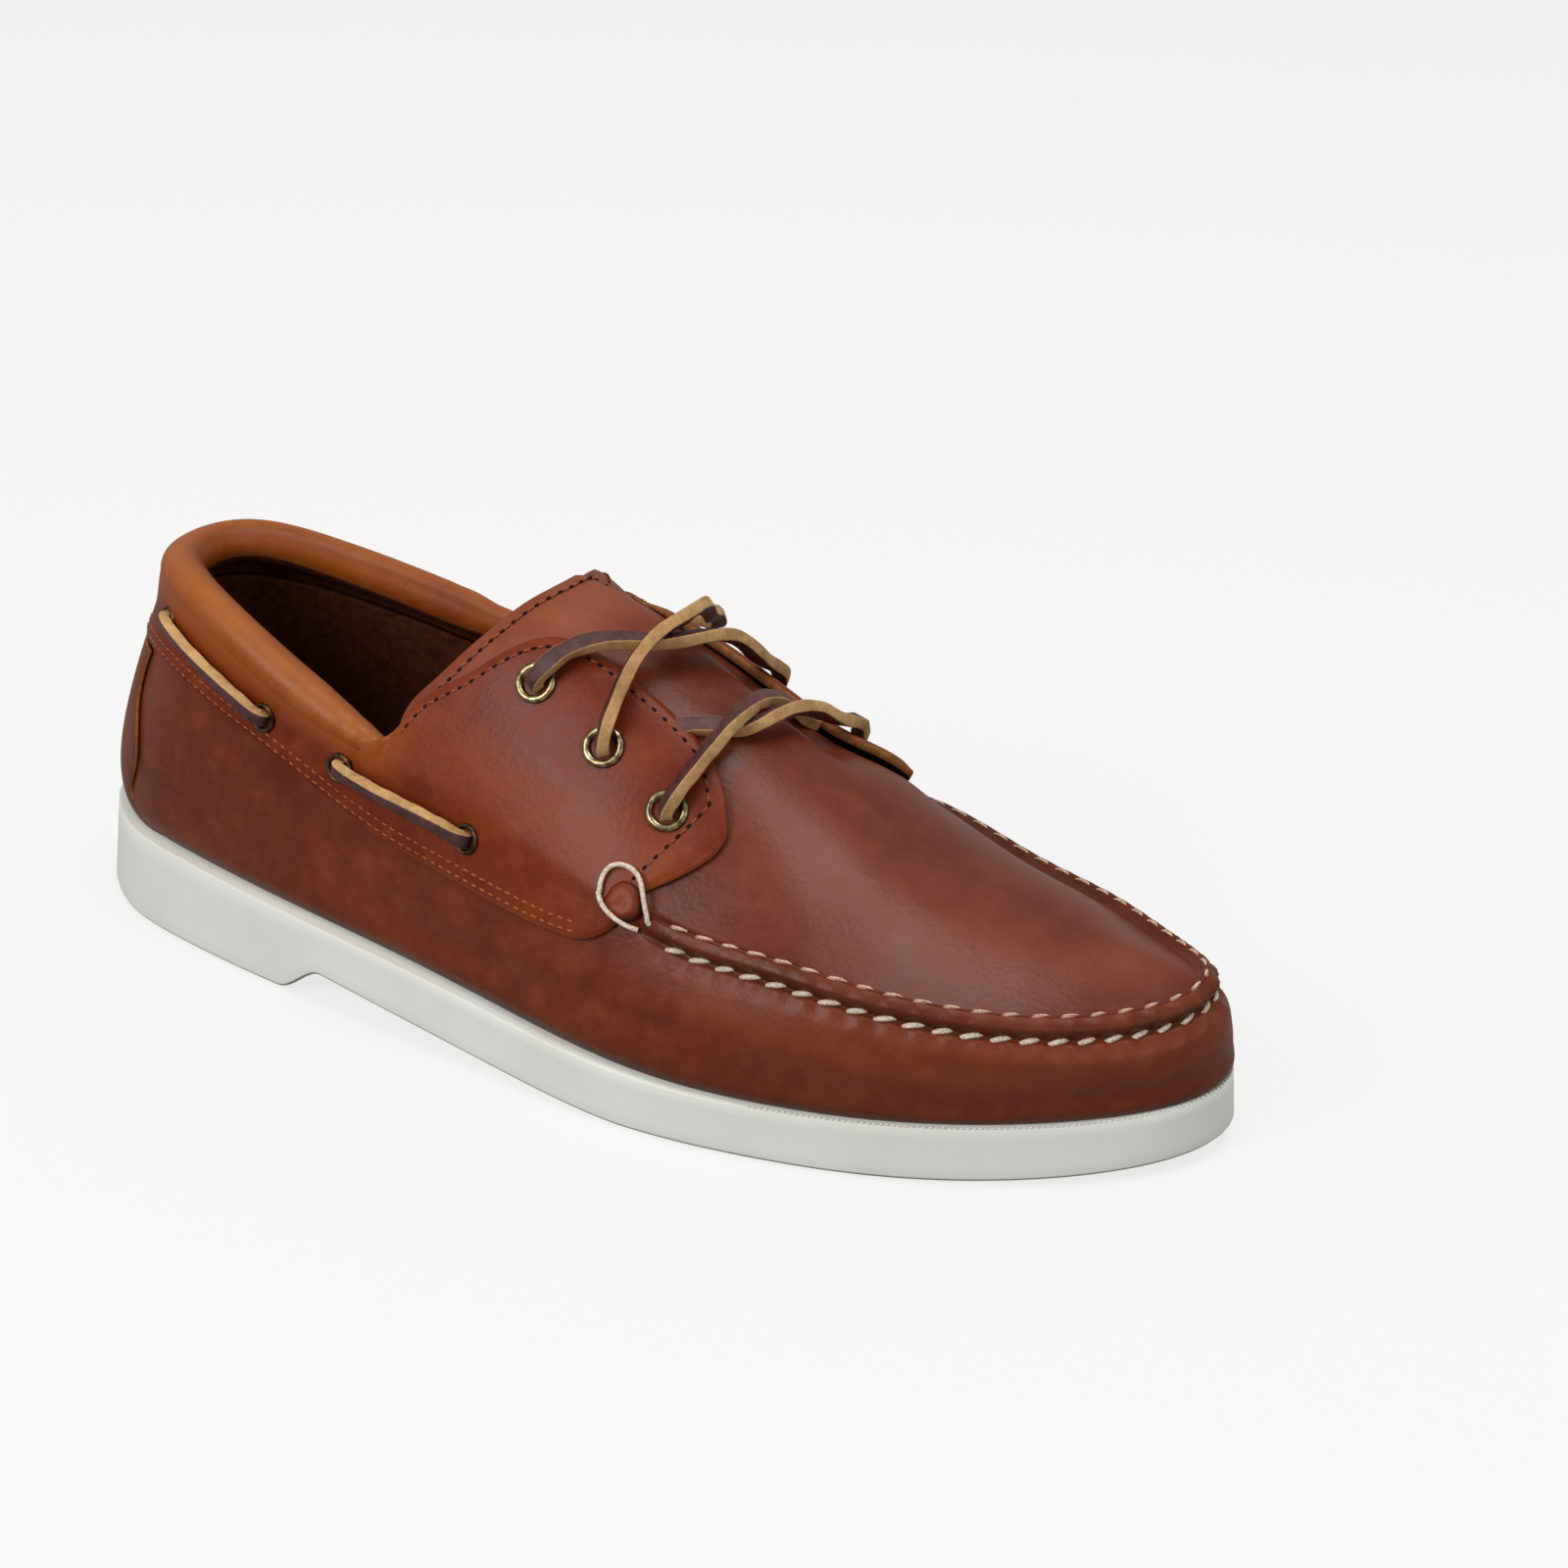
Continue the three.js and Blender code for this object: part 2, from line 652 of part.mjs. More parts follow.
// Edges of the quarter as angle and level, for a way from -1 on the inner side to 1 on the outer
function mirrored(values, sign) {
  return [...values.slice(1).reverse().map((value) => sign * value), ...values];
}
const quarterWay = mirrored(QUARTER.way, -1);
const toAngle = (share) => angleAt(OUTER, share);
const lowAngle = spline(quarterWay, mirrored(QUARTER.low.map(toAngle), -1));
const lowLevel = spline(quarterWay, mirrored(QUARTER.lowLevel, 1));
const highAngle = spline(quarterWay, mirrored(QUARTER.high.map(toAngle), -1));
const highLevel = spline(quarterWay, mirrored(QUARTER.highLevel, 1));
const frontAngle = spline(FLAP_FRONT.rise, FLAP_FRONT.share.map(toAngle));
const frontLevel = spline(FLAP_FRONT.rise, FLAP_FRONT.level);

// Point of the quarter between its edges: straight from the lower to the upper edge,
// drawn out to the rounded front edge towards the flap's end
function quarterPlace(way, rise) {
  const { lerp } = THREE.MathUtils;
  const end = Math.sign(way);
  const pull = way ** 6;
  const straight = lerp(lowAngle(way), highAngle(way), rise);
  const bow = end * frontAngle(rise) - lerp(lowAngle(end), highAngle(end), rise);
  const angle = straight + (end === 0 ? 0 : pull * bow);
  const sag = frontLevel(rise) - lerp(lowLevel(1), highLevel(1), rise);
  const level = lerp(lowLevel(way), highLevel(way), rise) + pull * sag;
  const side = angle < 0 ? INNER : OUTER;
  return [side * toAngle(flapShare(side, shareAt(angle), level)), level];
}

// Columns are close together round the heel and at the flaps' ends. Over the shoulder
// the leather bridges the edge with a little more room.
const COLLAR_END = 0.297;
const QUARTER_COLUMNS = 57;
const QUARTER_ROWS = 9;
const quarterOuter = [];
const quarterInner = [];
for (let i = 0; i < QUARTER_COLUMNS; i++) {
  for (let j = 0; j < QUARTER_ROWS; j++) {
    const even = 2 * i / (QUARTER_COLUMNS - 1) - 1;
    const way = even - 0.06 * Math.sin(TURN * even);
    const rise = j / (QUARTER_ROWS - 1);
    const [angle, level] = quarterPlace(way, rise);
    const bridge = shareAt(angle) < COLLAR_END ? 0 : clamp(1 - Math.abs(level - 1) / 0.25, 0, 1);
    const height = CLEARANCE * (1 + bridge) + flapLift(angle, level);
    quarterOuter.push(layer(angle, level, height + OVERLAY));
    quarterInner.push(layer(angle, level, height));
  }
}
const quarterSheet = toSolid(sheet(gridQuads(QUARTER_COLUMNS, QUARTER_ROWS), quarterOuter, quarterInner));

// Padded collar along the topline, thinner towards the front corners
const COLLAR_STEPS = 40;
const COLLAR_SIDES = 10;

function collarSection(angle) {
  const out = outward(angle);
  const share = shareAt(angle);
  const narrow = smooth((share - 0.2) / (COLLAR_END - 0.2));
  const radius = THREE.MathUtils.lerp(COLLAR_RADIUS, COLLAR_END_RADIUS, narrow);
  const centre = shoulderPoint(angle).add(new THREE.Vector3(out.x, out.y, 0).multiplyScalar(-COLLAR_INSET));
  const step = 0.001;
  const along = shoulderPoint(angle + step).sub(shoulderPoint(angle - step)).normalize();
  const sideways = new THREE.Vector3(out.x, out.y, 0);
  sideways.addScaledVector(along, -sideways.dot(along)).normalize();
  const up = new THREE.Vector3().crossVectors(sideways, along);
  return Array.from({ length: COLLAR_SIDES }, (_, i) => {
    const turn = i * TURN / COLLAR_SIDES;
    return centre.clone()
      .addScaledVector(sideways, Math.cos(turn) * radius)
      .addScaledVector(up, Math.sin(turn) * radius);
  });
}

const collarEnd = angleAt(OUTER, COLLAR_END);
const collarSections = Array.from({ length: COLLAR_STEPS + 1 }, (_, i) => (
  collarSection(collarEnd * (2 * i / COLLAR_STEPS - 1))
));
const collar = toSolid(sweep(collarSections));

// A round cutter straight through the quarter at one place
function drill(angle, level, radius) {
  const cylinder = new THREE.CylinderGeometry(radius, radius, 14, 12);
  const pose = new THREE.Matrix4().compose(
    flapPoint(angle, level, OVERLAY),
    new THREE.Quaternion().setFromUnitVectors(new THREE.Vector3(0, 1, 0), flapNormal(angle, level)),
    new THREE.Vector3(1, 1, 1),
  );
  return toSolid(cylinder.applyMatrix4(pose));
}

let quarter = quarterSheet.add(collar);
for (const side of [OUTER, INNER]) {
  for (const [share, level] of EYELETS) {
    quarter = quarter.subtract(drill(onSide(side, share, level), level, EYELET_BORE + EYELET_BARREL + CLEARANCE));
  }
  for (const [share, level] of SIDE_HOLES) {
    quarter = quarter.subtract(drill(onSide(side, share, level), level, SIDE_BORE + SIDE_BARREL + CLEARANCE));
  }
}
addPiece('quarter', toGeometry(quarter), 0x6e2d14, 0.55);

// Backstay over the heel seam with a flared foot
const BACKSTAY_COLUMNS = 13;
const BACKSTAY_ROWS = 10;
const backstayHalf = spline(BACKSTAY.level, BACKSTAY.share.map(toAngle));
const backstayOuter = [];
const backstayInner = [];
for (let i = 0; i < BACKSTAY_COLUMNS; i++) {
  for (let j = 0; j < BACKSTAY_ROWS; j++) {
    const climb = (j / (BACKSTAY_ROWS - 1)) ** 1.6;
    const level = THREE.MathUtils.lerp(BACKSTAY.level[0], BACKSTAY.level.at(-1), climb);
    const angle = backstayHalf(level) * (2 * i / (BACKSTAY_COLUMNS - 1) - 1);
    backstayOuter.push(layer(angle, level, CLEARANCE + BACKSTAY_WALL));
    backstayInner.push(layer(angle, level, CLEARANCE));
  }
}
const backstayQuads = gridQuads(BACKSTAY_COLUMNS, BACKSTAY_ROWS);
addPiece('backstay', sheet(backstayQuads, backstayOuter, backstayInner), 0x63290f, 0.6);

// Turned metal eyelet: a barrel in the leather and a rounded flange on its face
function eyeletGeometry(bore, barrel, flange, thickness, base, segments) {
  const outer = bore + barrel;
  const profile = [
    [bore, CLEARANCE + 0.35],
    [outer, CLEARANCE + 0.35],
    [outer, base],
    [outer + flange, base],
    [outer + flange * 0.6, base + thickness],
    [bore, base + thickness * 0.7],
    [bore, CLEARANCE + 0.35],
  ];
  const geometry = new THREE.LatheGeometry(profile.map(([r, h]) => new THREE.Vector2(r, h)), segments);
  geometry.deleteAttribute('normal');
  geometry.deleteAttribute('uv');
  const merged = mergeVertices(geometry, 1e-5);
  const points = [];
  for (let i = 0; i < merged.attributes.position.count; i++) {
    points.push(new THREE.Vector3().fromBufferAttribute(merged.attributes.position, i));
  }
  const triangles = [];
  for (let i = 0; i < merged.index.count; i += 3) {
    triangles.push([0, 1, 2].map((k) => merged.index.getX(i + k)));
  }
  return closedMesh(points, triangles);
}

function addEyelet(name, geometry, angle, level, color, roughness) {
  const eyelet = addPiece(name, geometry, color, roughness, 0.9);
  eyelet.position.copy(flapPoint(angle, level, 0));
  eyelet.quaternion.setFromUnitVectors(new THREE.Vector3(0, 1, 0), flapNormal(angle, level));
}

const FLAP_TOP = CLEARANCE + OVERLAY;
const EYELET_BASE = FLAP_TOP + CLEARANCE;
const eyelet = eyeletGeometry(EYELET_BORE, EYELET_BARREL, EYELET_FLANGE, EYELET_THICKNESS, EYELET_BASE, 16);
const sideEyelet = eyeletGeometry(SIDE_BORE, SIDE_BARREL, SIDE_FLANGE, SIDE_THICKNESS, EYELET_BASE, 12);
for (const [label, side] of [['outer', OUTER], ['inner', INNER]]) {
  EYELETS.forEach(([share, level], i) => {
    addEyelet(`eyelet_${label}_${i + 1}`, eyelet, onSide(side, share, level), level, 0x8a6a3c, 0.35);
  });
  SIDE_HOLES.forEach(([share, level], i) => {
    addEyelet(`side_eyelet_${label}_${i + 1}`, sideEyelet, onSide(side, share, level), level, 0x3a2a1c, 0.4);
  });
}

// Rawhide lace of square section along a path of stops. Each stop has a place and the
// direction straight out of the shoe there, and the lace keeps its flat side to it.
function lace(stops, steps) {
  const places = stops.map((stop) => stop.place);
  const sides = stops.map((stop, i) => {
    const from = places[stop.dives ? i - stop.dives : Math.max(i - 1, 0)];
    const to = places[stop.dives ? i : Math.min(i + 1, stops.length - 1)];
    const along = to.clone().sub(from).multiplyScalar(stop.dives < 0 ? -1 : 1);
    return along.cross(stop.out).normalize();
  });
  const path = new THREE.CatmullRomCurve3(places, false, 'centripetal');
  const side = new THREE.CatmullRomCurve3(sides);
  const sections = [];
  for (let i = 0; i <= steps; i++) {
    const along = path.getTangent(i / steps);
    const across = side.getPoint(i / steps);
    across.addScaledVector(along, -across.dot(along)).normalize();
    const up = new THREE.Vector3().crossVectors(across, along);
    sections.push([[-1, -1], [1, -1], [1, 1], [-1, 1]].map(([x, y]) => (
      path.getPoint(i / steps)
        .addScaledVector(across, x * LACE_WIDTH / 2)
        .addScaledVector(up, y * LACE_THICKNESS / 2)
    )));
  }
  return sweep(sections);
}

function stopAt(angle, level, height, dives = 0) {
  return { place: layer(angle, level, height), out: formNormal(angle, level), dives };
}

// Side lace between two neighbouring holes, down into both eyelets
function sideLace(side, from, to) {
  const ends = [from, to].map(([share, level]) => [onSide(side, share, level), level]);
  const run = EYELET_BASE + SIDE_THICKNESS + LACE_THICKNESS / 2 + 2 * CLEARANCE;
  const neck = EYELET_BASE + SIDE_THICKNESS + CLEARANCE;
  const shares = [0, 0, 0.1, 0.35, 0.65, 0.9, 1, 1];
  const heights = [CLEARANCE + 0.4, neck, run, run, run, run, neck, CLEARANCE + 0.4];
  const dives = [-2, -1, 0, 0, 0, 0, 1, 2];
  const stops = shares.map((share, i) => {
    const angle = THREE.MathUtils.lerp(ends[0][0], ends[1][0], share);
    const level = THREE.MathUtils.lerp(ends[0][1], ends[1][1], share);
    return stopAt(angle, level, heights[i], dives[i]);
  });
  return lace(stops, 16);
}

for (const [label, side] of [['outer', OUTER], ['inner', INNER]]) {
  for (const [name, from, to] of [['back', 0, 1], ['front', 2, 3]]) {
    const geometry = sideLace(side, SIDE_HOLES[from], SIDE_HOLES[to]);
    addPiece(`side_lace_${label}_${name}`, geometry, 0x5b3526, 0.6);
  }
}

// Stops of a lace at an eyelet: in the bore, over it, and on the flange towards the next stop
function eyeletStops([side, number], next, nextLevel) {
  const [share, level] = EYELETS[number - 1];
  const angle = onSide(side, share, level);
  const out = flapNormal(angle, level);
  const top = EYELET_BASE + EYELET_THICKNESS;
  const distance = layer(angle, level, 0).distanceTo(layer(next, nextLevel, 0));
  const part = (EYELET_BORE + EYELET_FLANGE) / distance;
  const over = [angle, level].map((value, i) => THREE.MathUtils.lerp(value, [next, nextLevel][i], part));
  return [
    { place: flapPoint(angle, level, CLEARANCE + 0.4), out, dives: 2 },
    { place: flapPoint(angle, level, top + CLEARANCE), out, dives: 1 },
    { place: flapPoint(...over, top + LACE_THICKNESS / 2 + 2 * CLEARANCE), out, dives: 0 },
  ];
}

// Lace crossings over the tongue. The layer counts lace thicknesses above the flaps,
// and an eyelet end dives straight into its bore.
function crossingLace(rows, start, end, steps) {
  const stops = rows.map(([side, share, level, count]) => {
    const angle = angleAt(side, share);
    const lift = count < 0 ? 0 : flapLift(angle, level);
    return stopAt(angle, level, FLAP_TOP + CLEARANCE + LACE_THICKNESS * (0.5 + count) + lift);
  });
  if (start) {
    const [side, share, level] = rows[0];
    const near = eyeletStops(start, angleAt(side, share), level);
    stops.unshift(...near.map((stop) => ({ ...stop, dives: -stop.dives })));
  }
  if (end) {
    const [side, share, level] = rows.at(-1);
    stops.push(...eyeletStops(end, angleAt(side, share), level).reverse());
  }
  return toSolid(lace(stops, steps));
}

const topLaceUnder = crossingLace([
  [OUTER, 0.452, 1.59, 0.6],
  [OUTER, 0.477, 1.69, 0.9],
  [OUTER, 0.503, 1.77, 1.1],
  [OUTER, 0.524, 1.885, 1.1],
  [INNER, 0.542, 1.96, 1.1],
  [INNER, 0.553, 1.80, 1.0],
  [INNER, 0.551, 1.60, 0.6],
], [OUTER, 1], [INNER, 2], 32);
const topLaceOver = crossingLace([
  [OUTER, 0.504, 1.505, 0.6],
  [OUTER, 0.505, 1.65, 1.6],
  [OUTER, 0.509, 1.80, 2.02],
  [OUTER, 0.514, 1.925, 1.7],
  [INNER, 0.510, 1.97, 1.2],
  [INNER, 0.495, 1.80, 0.8],
  [INNER, 0.472, 1.60, 0.6],
], [OUTER, 2], [INNER, 1], 32);
addPiece('lace_crossing_top', toGeometry(topLaceUnder.add(topLaceOver)), 0x5b3526, 0.6);

const lowLaceOver = crossingLace([
  [OUTER, 0.580, 1.51, 0.6],
  [OUTER, 0.587, 1.70, 0.5],
  [OUTER, 0.589, 1.78, 0.4],
  [OUTER, 0.591, 1.90, 0.1],
  [INNER, 0.598, 1.95, -0.3],
  [INNER, 0.604, 1.80, -0.6],
  [INNER, 0.606, 1.70, -0.74],
], [OUTER, 3], null, 28);
const lowLaceUnder = crossingLace([
  [OUTER, 0.566, 1.69, -0.74],
  [OUTER, 0.579, 1.73, -0.6],
  [OUTER, 0.595, 1.80, -0.4],
  [OUTER, 0.606, 1.88, 0.1],
  [OUTER, 0.612, 1.95, 0.5],
  [INNER, 0.620, 1.93, 0.6],
  [INNER, 0.630, 1.80, 0.6],
  [INNER, 0.630, 1.60, 0.8],
], null, [INNER, 3], 28);
addPiece('lace_crossing_bottom', toGeometry(lowLaceOver.add(lowLaceUnder)), 0x5b3526, 0.6);

// The origin is the middle of the footprint on the floor
const box = new THREE.Box3().setFromObject(shoe);
const middle = box.getCenter(new THREE.Vector3());
shoe.position.set(-middle.x, -middle.y, -box.min.z);

export default shoe;
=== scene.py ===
import math
import bpy
import numpy as np
from mathutils import Matrix, Vector


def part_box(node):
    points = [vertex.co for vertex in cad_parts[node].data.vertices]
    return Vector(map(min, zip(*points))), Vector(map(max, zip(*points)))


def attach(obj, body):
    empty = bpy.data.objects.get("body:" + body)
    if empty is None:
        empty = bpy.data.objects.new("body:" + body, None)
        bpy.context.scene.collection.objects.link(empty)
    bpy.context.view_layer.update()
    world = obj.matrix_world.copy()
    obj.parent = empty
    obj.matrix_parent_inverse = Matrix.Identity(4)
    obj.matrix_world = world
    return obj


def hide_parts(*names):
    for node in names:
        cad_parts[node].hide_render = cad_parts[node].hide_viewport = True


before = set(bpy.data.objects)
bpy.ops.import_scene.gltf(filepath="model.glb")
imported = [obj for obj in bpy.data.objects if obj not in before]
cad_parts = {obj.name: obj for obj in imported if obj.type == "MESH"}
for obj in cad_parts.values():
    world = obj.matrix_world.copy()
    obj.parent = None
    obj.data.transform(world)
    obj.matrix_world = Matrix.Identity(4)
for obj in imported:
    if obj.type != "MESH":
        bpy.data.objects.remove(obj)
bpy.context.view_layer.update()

# Rubber unit sole
# The shoe stands on one piece of pale moulded rubber with a low heel, a hollow arch and
# a little toe spring. Its lower edge is rounded and its side leans in at the heel.

LENGTH, BALL_WIDTH = 295.0, 104.0            # mm, sole length and greatest width
HEEL_THICKNESS, FOREPART_THICKNESS = 22.4, 12.2
ARCH_HEIGHT, TOE_SPRING = 7.5, 3.4           # mm between the underside and the floor
SOLE_STATIONS = 720
SOLE_EDGE, SOLE_TAPER, HEEL_TAPER = 1.2, .9, 1.6     # mm, round of the lower edge, lean of the side

# share of the length, half widths on the outer and the inner side as shares of the ball width
SOLE = np.array([
    (0, 0, 0), (.02, .110, .118), (.07, .232, .240), (.14, .308, .306), (.24, .376, .318),
    (.36, .438, .298), (.48, .500, .317), (.60, .550, .404), (.70, .535, .450),
    (.80, .473, .428), (.89, .365, .335), (.955, .236, .207), (.99, .111, .098), (1, 0, 0),
])
# share of the length, share of the way up from forepart to heel thickness
SEAT = np.array([
    (0, 1), (.1, .98), (.2, .863), (.3, .686), (.4, .49), (.52, .196), (.65, 0), (.8, .03),
    (.9, .137), (1, .314),
])


def smooth_curve(places, values, period=0.0):
    """Cubic pieces through the values that share slope and bend at each place. A set of
    equations gives the bends; with a period the curve closes on itself."""
    places, values = np.asarray(places, float), np.asarray(values, float)
    count = len(places)
    gap = np.diff(np.append(places, places[0] + period))
    matrix, right = np.eye(count), np.zeros(count)
    for i in range(0 if period else 1, count if period else count - 1):
        before, after = (i - 1) % count, (i + 1) % count
        matrix[i, i] = 2 * (gap[before] + gap[i])
        matrix[i, before] += gap[before]
        matrix[i, after] += gap[i]
        right[i] = 6 * ((values[after] - values[i]) / gap[i] - (values[i] - values[before]) / gap[before])
    bends = np.linalg.solve(matrix, right)

    def at(place):
        x = np.asarray(place, float)
        if period:
            x = (x - places[0]) % period + places[0]
        i = np.clip(np.searchsorted(places, x, side="right") - 1, 0, count - (1 if period else 2))
        j = (i + 1) % count
        a = (places[i] + gap[i] - x) / gap[i]
        b = 1 - a
        bend = ((a ** 3 - a) * bends[i] + (b ** 3 - b) * bends[j]) * gap[i] ** 2 / 6
        return a * values[i] + b * values[j] + bend
    return at


def ring(share, outer, inner):
    """Closed curve round the shoe: the outer values from heel to toe, the inner ones back,
    over the angle whose cosine falls from 1 at the heel to -1 at the toe."""
    angle = np.arccos(1 - 2 * np.asarray(share, float))
    return smooth_curve(np.append(angle, 2 * np.pi - angle[-2:0:-1]),
                        np.append(outer, np.asarray(inner)[-2:0:-1]), 2 * np.pi)


def smooth(value):
    """Soft step from 0 to 1."""
    value = np.clip(value, 0, 1)
    return value * value * (3 - 2 * value)


def bump(value, width):
    """Bell of height 1 that fades over the width."""
    return np.exp(-(value / width) ** 2)


def share_at(angle):
    """Share of the length that belongs to an angle round the shoe."""
    return (1 - np.cos(angle)) / 2


def angle_at(side, share):
    """Angle round the shoe of a share, positive on the outer side."""
    return side * np.arccos(np.clip(1 - 2 * np.asarray(share, float), -1, 1))


sole_side = ring(SOLE[:, 0], -SOLE[:, 1], SOLE[:, 2])
seat_rise = smooth_curve(SEAT[:, 0], SEAT[:, 1])


def sole_edge(angle):
    """Sole outline: length share from the angle, width from the table's curve."""
    return np.stack([LENGTH * share_at(angle), BALL_WIDTH * sole_side(angle)], -1)


def outward(angle):
    """Unit direction across the sole outline, away from the foot."""
    along = sole_edge(angle + 1e-3) - sole_edge(angle - 1e-3)
    across = np.stack([along[..., 1], -along[..., 0]], -1)
    return across / np.linalg.norm(across, axis=-1, keepdims=True)


def seat_height(x):
    """Height of the sole's foot side."""
    return FOREPART_THICKNESS + (HEEL_THICKNESS - FOREPART_THICKNESS) * seat_rise(x / LENGTH)


def underside(x):
    """Height of the sole's underside: flat heel, a soft step to the arch, which runs out to
    the flat forepart, and a parabola of toe spring."""
    s = x / LENGTH
    arch = ARCH_HEIGHT * smooth((s - .255) / .05) * (1 - np.clip((s - .3) / .3, 0, 1)) ** 1.25
    return arch + TOE_SPRING * np.clip((s - .74) / .26, 0, 1) ** 2


# the row's origin is the middle of the whole shoe's box
corner = np.array(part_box("outsole")[0])
stations = np.linspace(0, 2 * np.pi, SOLE_STATIONS, endpoint=False)
SHIFT = np.array([corner[0], corner[1] - sole_edge(stations)[:, 1].min() / 1000, 0])


def grid_quads(index):
    """Quads that join each point of a grid of point numbers to its neighbours both ways."""
    return np.stack([index[:-1, :-1], index[1:, :-1], index[1:, 1:], index[:-1, 1:]], -1).reshape(-1, 4)


def surface(name, grids, materials, attributes=None):
    """Mesh of one or more grids of points in mm, each with its wrap flags and material
    number, its points joined by quads."""
    points, faces, numbers, start = [], [], [], 0
    for grid, wrap, number in grids:
        rows, columns = grid.shape[:2]
        index = np.arange(rows * columns).reshape(rows, columns) + start
        if wrap[0]:
            index = np.vstack([index, index[:1]])
        if wrap[1]:
            index = np.hstack([index, index[:, :1]])
        points.append(grid.reshape(-1, 3))
        faces.append(grid_quads(index))
        numbers.append(np.broadcast_to(number, (len(faces[-1]),)))
        start += rows * columns
    return mesh_piece(name, np.concatenate(points), np.concatenate(faces), materials,
                      np.concatenate(numbers), attributes)


def capped_ring(name, grid, materials, numbers=None):
    """Closed body from profiles in a ring, each going up. Straight strips across the shoe
    close it below the profiles' first points and over their last ones."""
    count, rows = grid.shape[:2]
    index = np.arange(count * rows).reshape(count, rows)
    half = np.arange(count // 2)
    strip = np.stack([half, half + 1, (count - half - 1) % count, (count - half) % count], -1) * rows
    faces = np.vstack([grid_quads(np.vstack([index, index[:1]])), strip[:, ::-1], strip + rows - 1])
    return mesh_piece(name, grid.reshape(-1, 3), faces, materials, numbers)


def mesh_piece(name, points, faces, materials, numbers=None, attributes=None):
    """Smooth-shaded object of points in mm and quads, moved into the row's frame in metres.
    A quad with a point twice becomes a triangle."""
    mesh = bpy.data.meshes.new(name)
    mesh.from_pydata((np.asarray(points) / 1000 + SHIFT).tolist(), [],
                     [list(dict.fromkeys(face)) for face in faces.tolist()])
    for material in materials:
        mesh.materials.append(material)
    if numbers is not None:
        mesh.polygons.foreach_set("material_index", np.asarray(numbers, np.int32))
    mesh.polygons.foreach_set("use_smooth", np.ones(len(mesh.polygons), bool))
    for key, values in (attributes or {}).items():
        stored = mesh.attributes.new(key, "FLOAT", "POINT").data
        stored.foreach_set("value", np.ravel(values).astype(float))
    mesh.update()
    piece = bpy.data.objects.new(name, mesh)
    bpy.context.scene.collection.objects.link(piece)
    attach(piece, "root")
    return piece


def linear(hex_colour):
    """sRGB hex colour as linear red, green, blue and alpha."""
    parts = [int(hex_colour[i:i + 2], 16) / 255 for i in (1, 3, 5)]
    return [*(p / 12.92 if p <= .04045 else ((p + .055) / 1.055) ** 2.4 for p in parts), 1.0]


def add(tree, kind, inputs=None, **settings):
    """Adds a node. Settings are its properties; inputs are values, or sockets to link."""
    node = tree.nodes.new(kind)
    for key, value in settings.items():
        setattr(node, key, value)
    for key, value in (inputs or {}).items():
        if isinstance(value, bpy.types.NodeSocket):
            tree.links.new(value, node.inputs[key])
        else:
            node.inputs[key].default_value = value
    return node


def per(mm):
    """Scale of a pattern whose features are this many mm wide."""
    return 1000 / mm


def new_material(name):
    """Empty material with its shader, output and object coordinates."""
    material = bpy.data.materials.new(name)
    material.use_nodes = True
    tree = material.node_tree
    tree.nodes.clear()
    shader = add(tree, "ShaderNodeBsdfPrincipled")
    out = add(tree, "ShaderNodeOutputMaterial")
    tree.links.new(shader.outputs[0], out.inputs[0])
    place = add(tree, "ShaderNodeTexCoord").outputs["Object"]
    return material, tree, shader, place


def dress(tree, shader, pattern, edges, tones, relief, strength, depth):
    """Colours a surface from the first to the second tone where the pattern rises between
    the edges, and raises it by the relief pattern, as deep as given in mm."""
    amount = add(tree, "ShaderNodeMapRange", {0: pattern.outputs[0], 1: edges[0], 2: edges[1]})
    tone = add(tree, "ShaderNodeMix", {0: amount.outputs[0], 6: linear(tones[0]), 7: linear(tones[1])},
               data_type="RGBA")
    skin = add(tree, "ShaderNodeBump", {"Height": relief.outputs[0], "Strength": strength,
                                        "Distance": depth / 1000})
    tree.links.new(tone.outputs[2], shader.inputs["Base Color"])
    tree.links.new(skin.outputs[0], shader.inputs["Normal"])


def moulded_rubber(name, pale, grimed):
    """Moulded rubber, matt with a fine pitted skin: clouds of grime between two tones."""
    material, tree, shader, place = new_material(name)
    clouds = add(tree, "ShaderNodeTexNoise", {"Vector": place, "Scale": per(35), "Detail": 4.0})
    pits = add(tree, "ShaderNodeTexNoise", {"Vector": place, "Scale": per(1.2), "Detail": 2.0})
    dress(tree, shader, clouds, (.35, .7), (pale, grimed), pits, .12, .2)
    shader.inputs["Roughness"].default_value = .62
    shader.inputs["IOR"].default_value = 1.5
    return material


def sole_lean(angle):
    """How far the sole's side leans in at its top: more round the heel, by a parabola."""
    return SOLE_TAPER + HEEL_TAPER * np.clip(1 - share_at(angle) / .12, 0, 1) ** 2


sole_rows = [(SOLE_EDGE * (1 - math.sin(t)), "low", SOLE_EDGE * (1 - math.cos(t)))
             for t in np.linspace(0, math.pi / 2, 6)]
sole_rows += [(f, "side", f) for f in (.2, .4, .6, .8, 1)]
sole_rows += [(.25, "top", -.15), (.6, "top", 0)]
edge, out = sole_edge(stations), outward(stations)
ring_grid = []
for inset, kind, height in sole_rows:
    lean = sole_lean(stations)
    shift_in = {"low": inset, "side": inset * lean, "top": inset + lean}[kind]
    point = edge - out * np.broadcast_to(shift_in, stations.shape)[:, None]
    low, high = underside(point[:, 0]), seat_height(point[:, 0])
    z = {"low": low + height,
         "side": low + SOLE_EDGE + (high - .5 - low - SOLE_EDGE) * height,
         "top": high + height}[kind]
    ring_grid.append(np.column_stack([point, z]))
ring_grid = np.array(ring_grid).transpose(1, 0, 2)
# the rounded lower edge and the underside take a darker grey copy of the rubber: painted shade
tread_rows = np.tile(np.arange(len(sole_rows) - 1) < 4, SOLE_STATIONS)
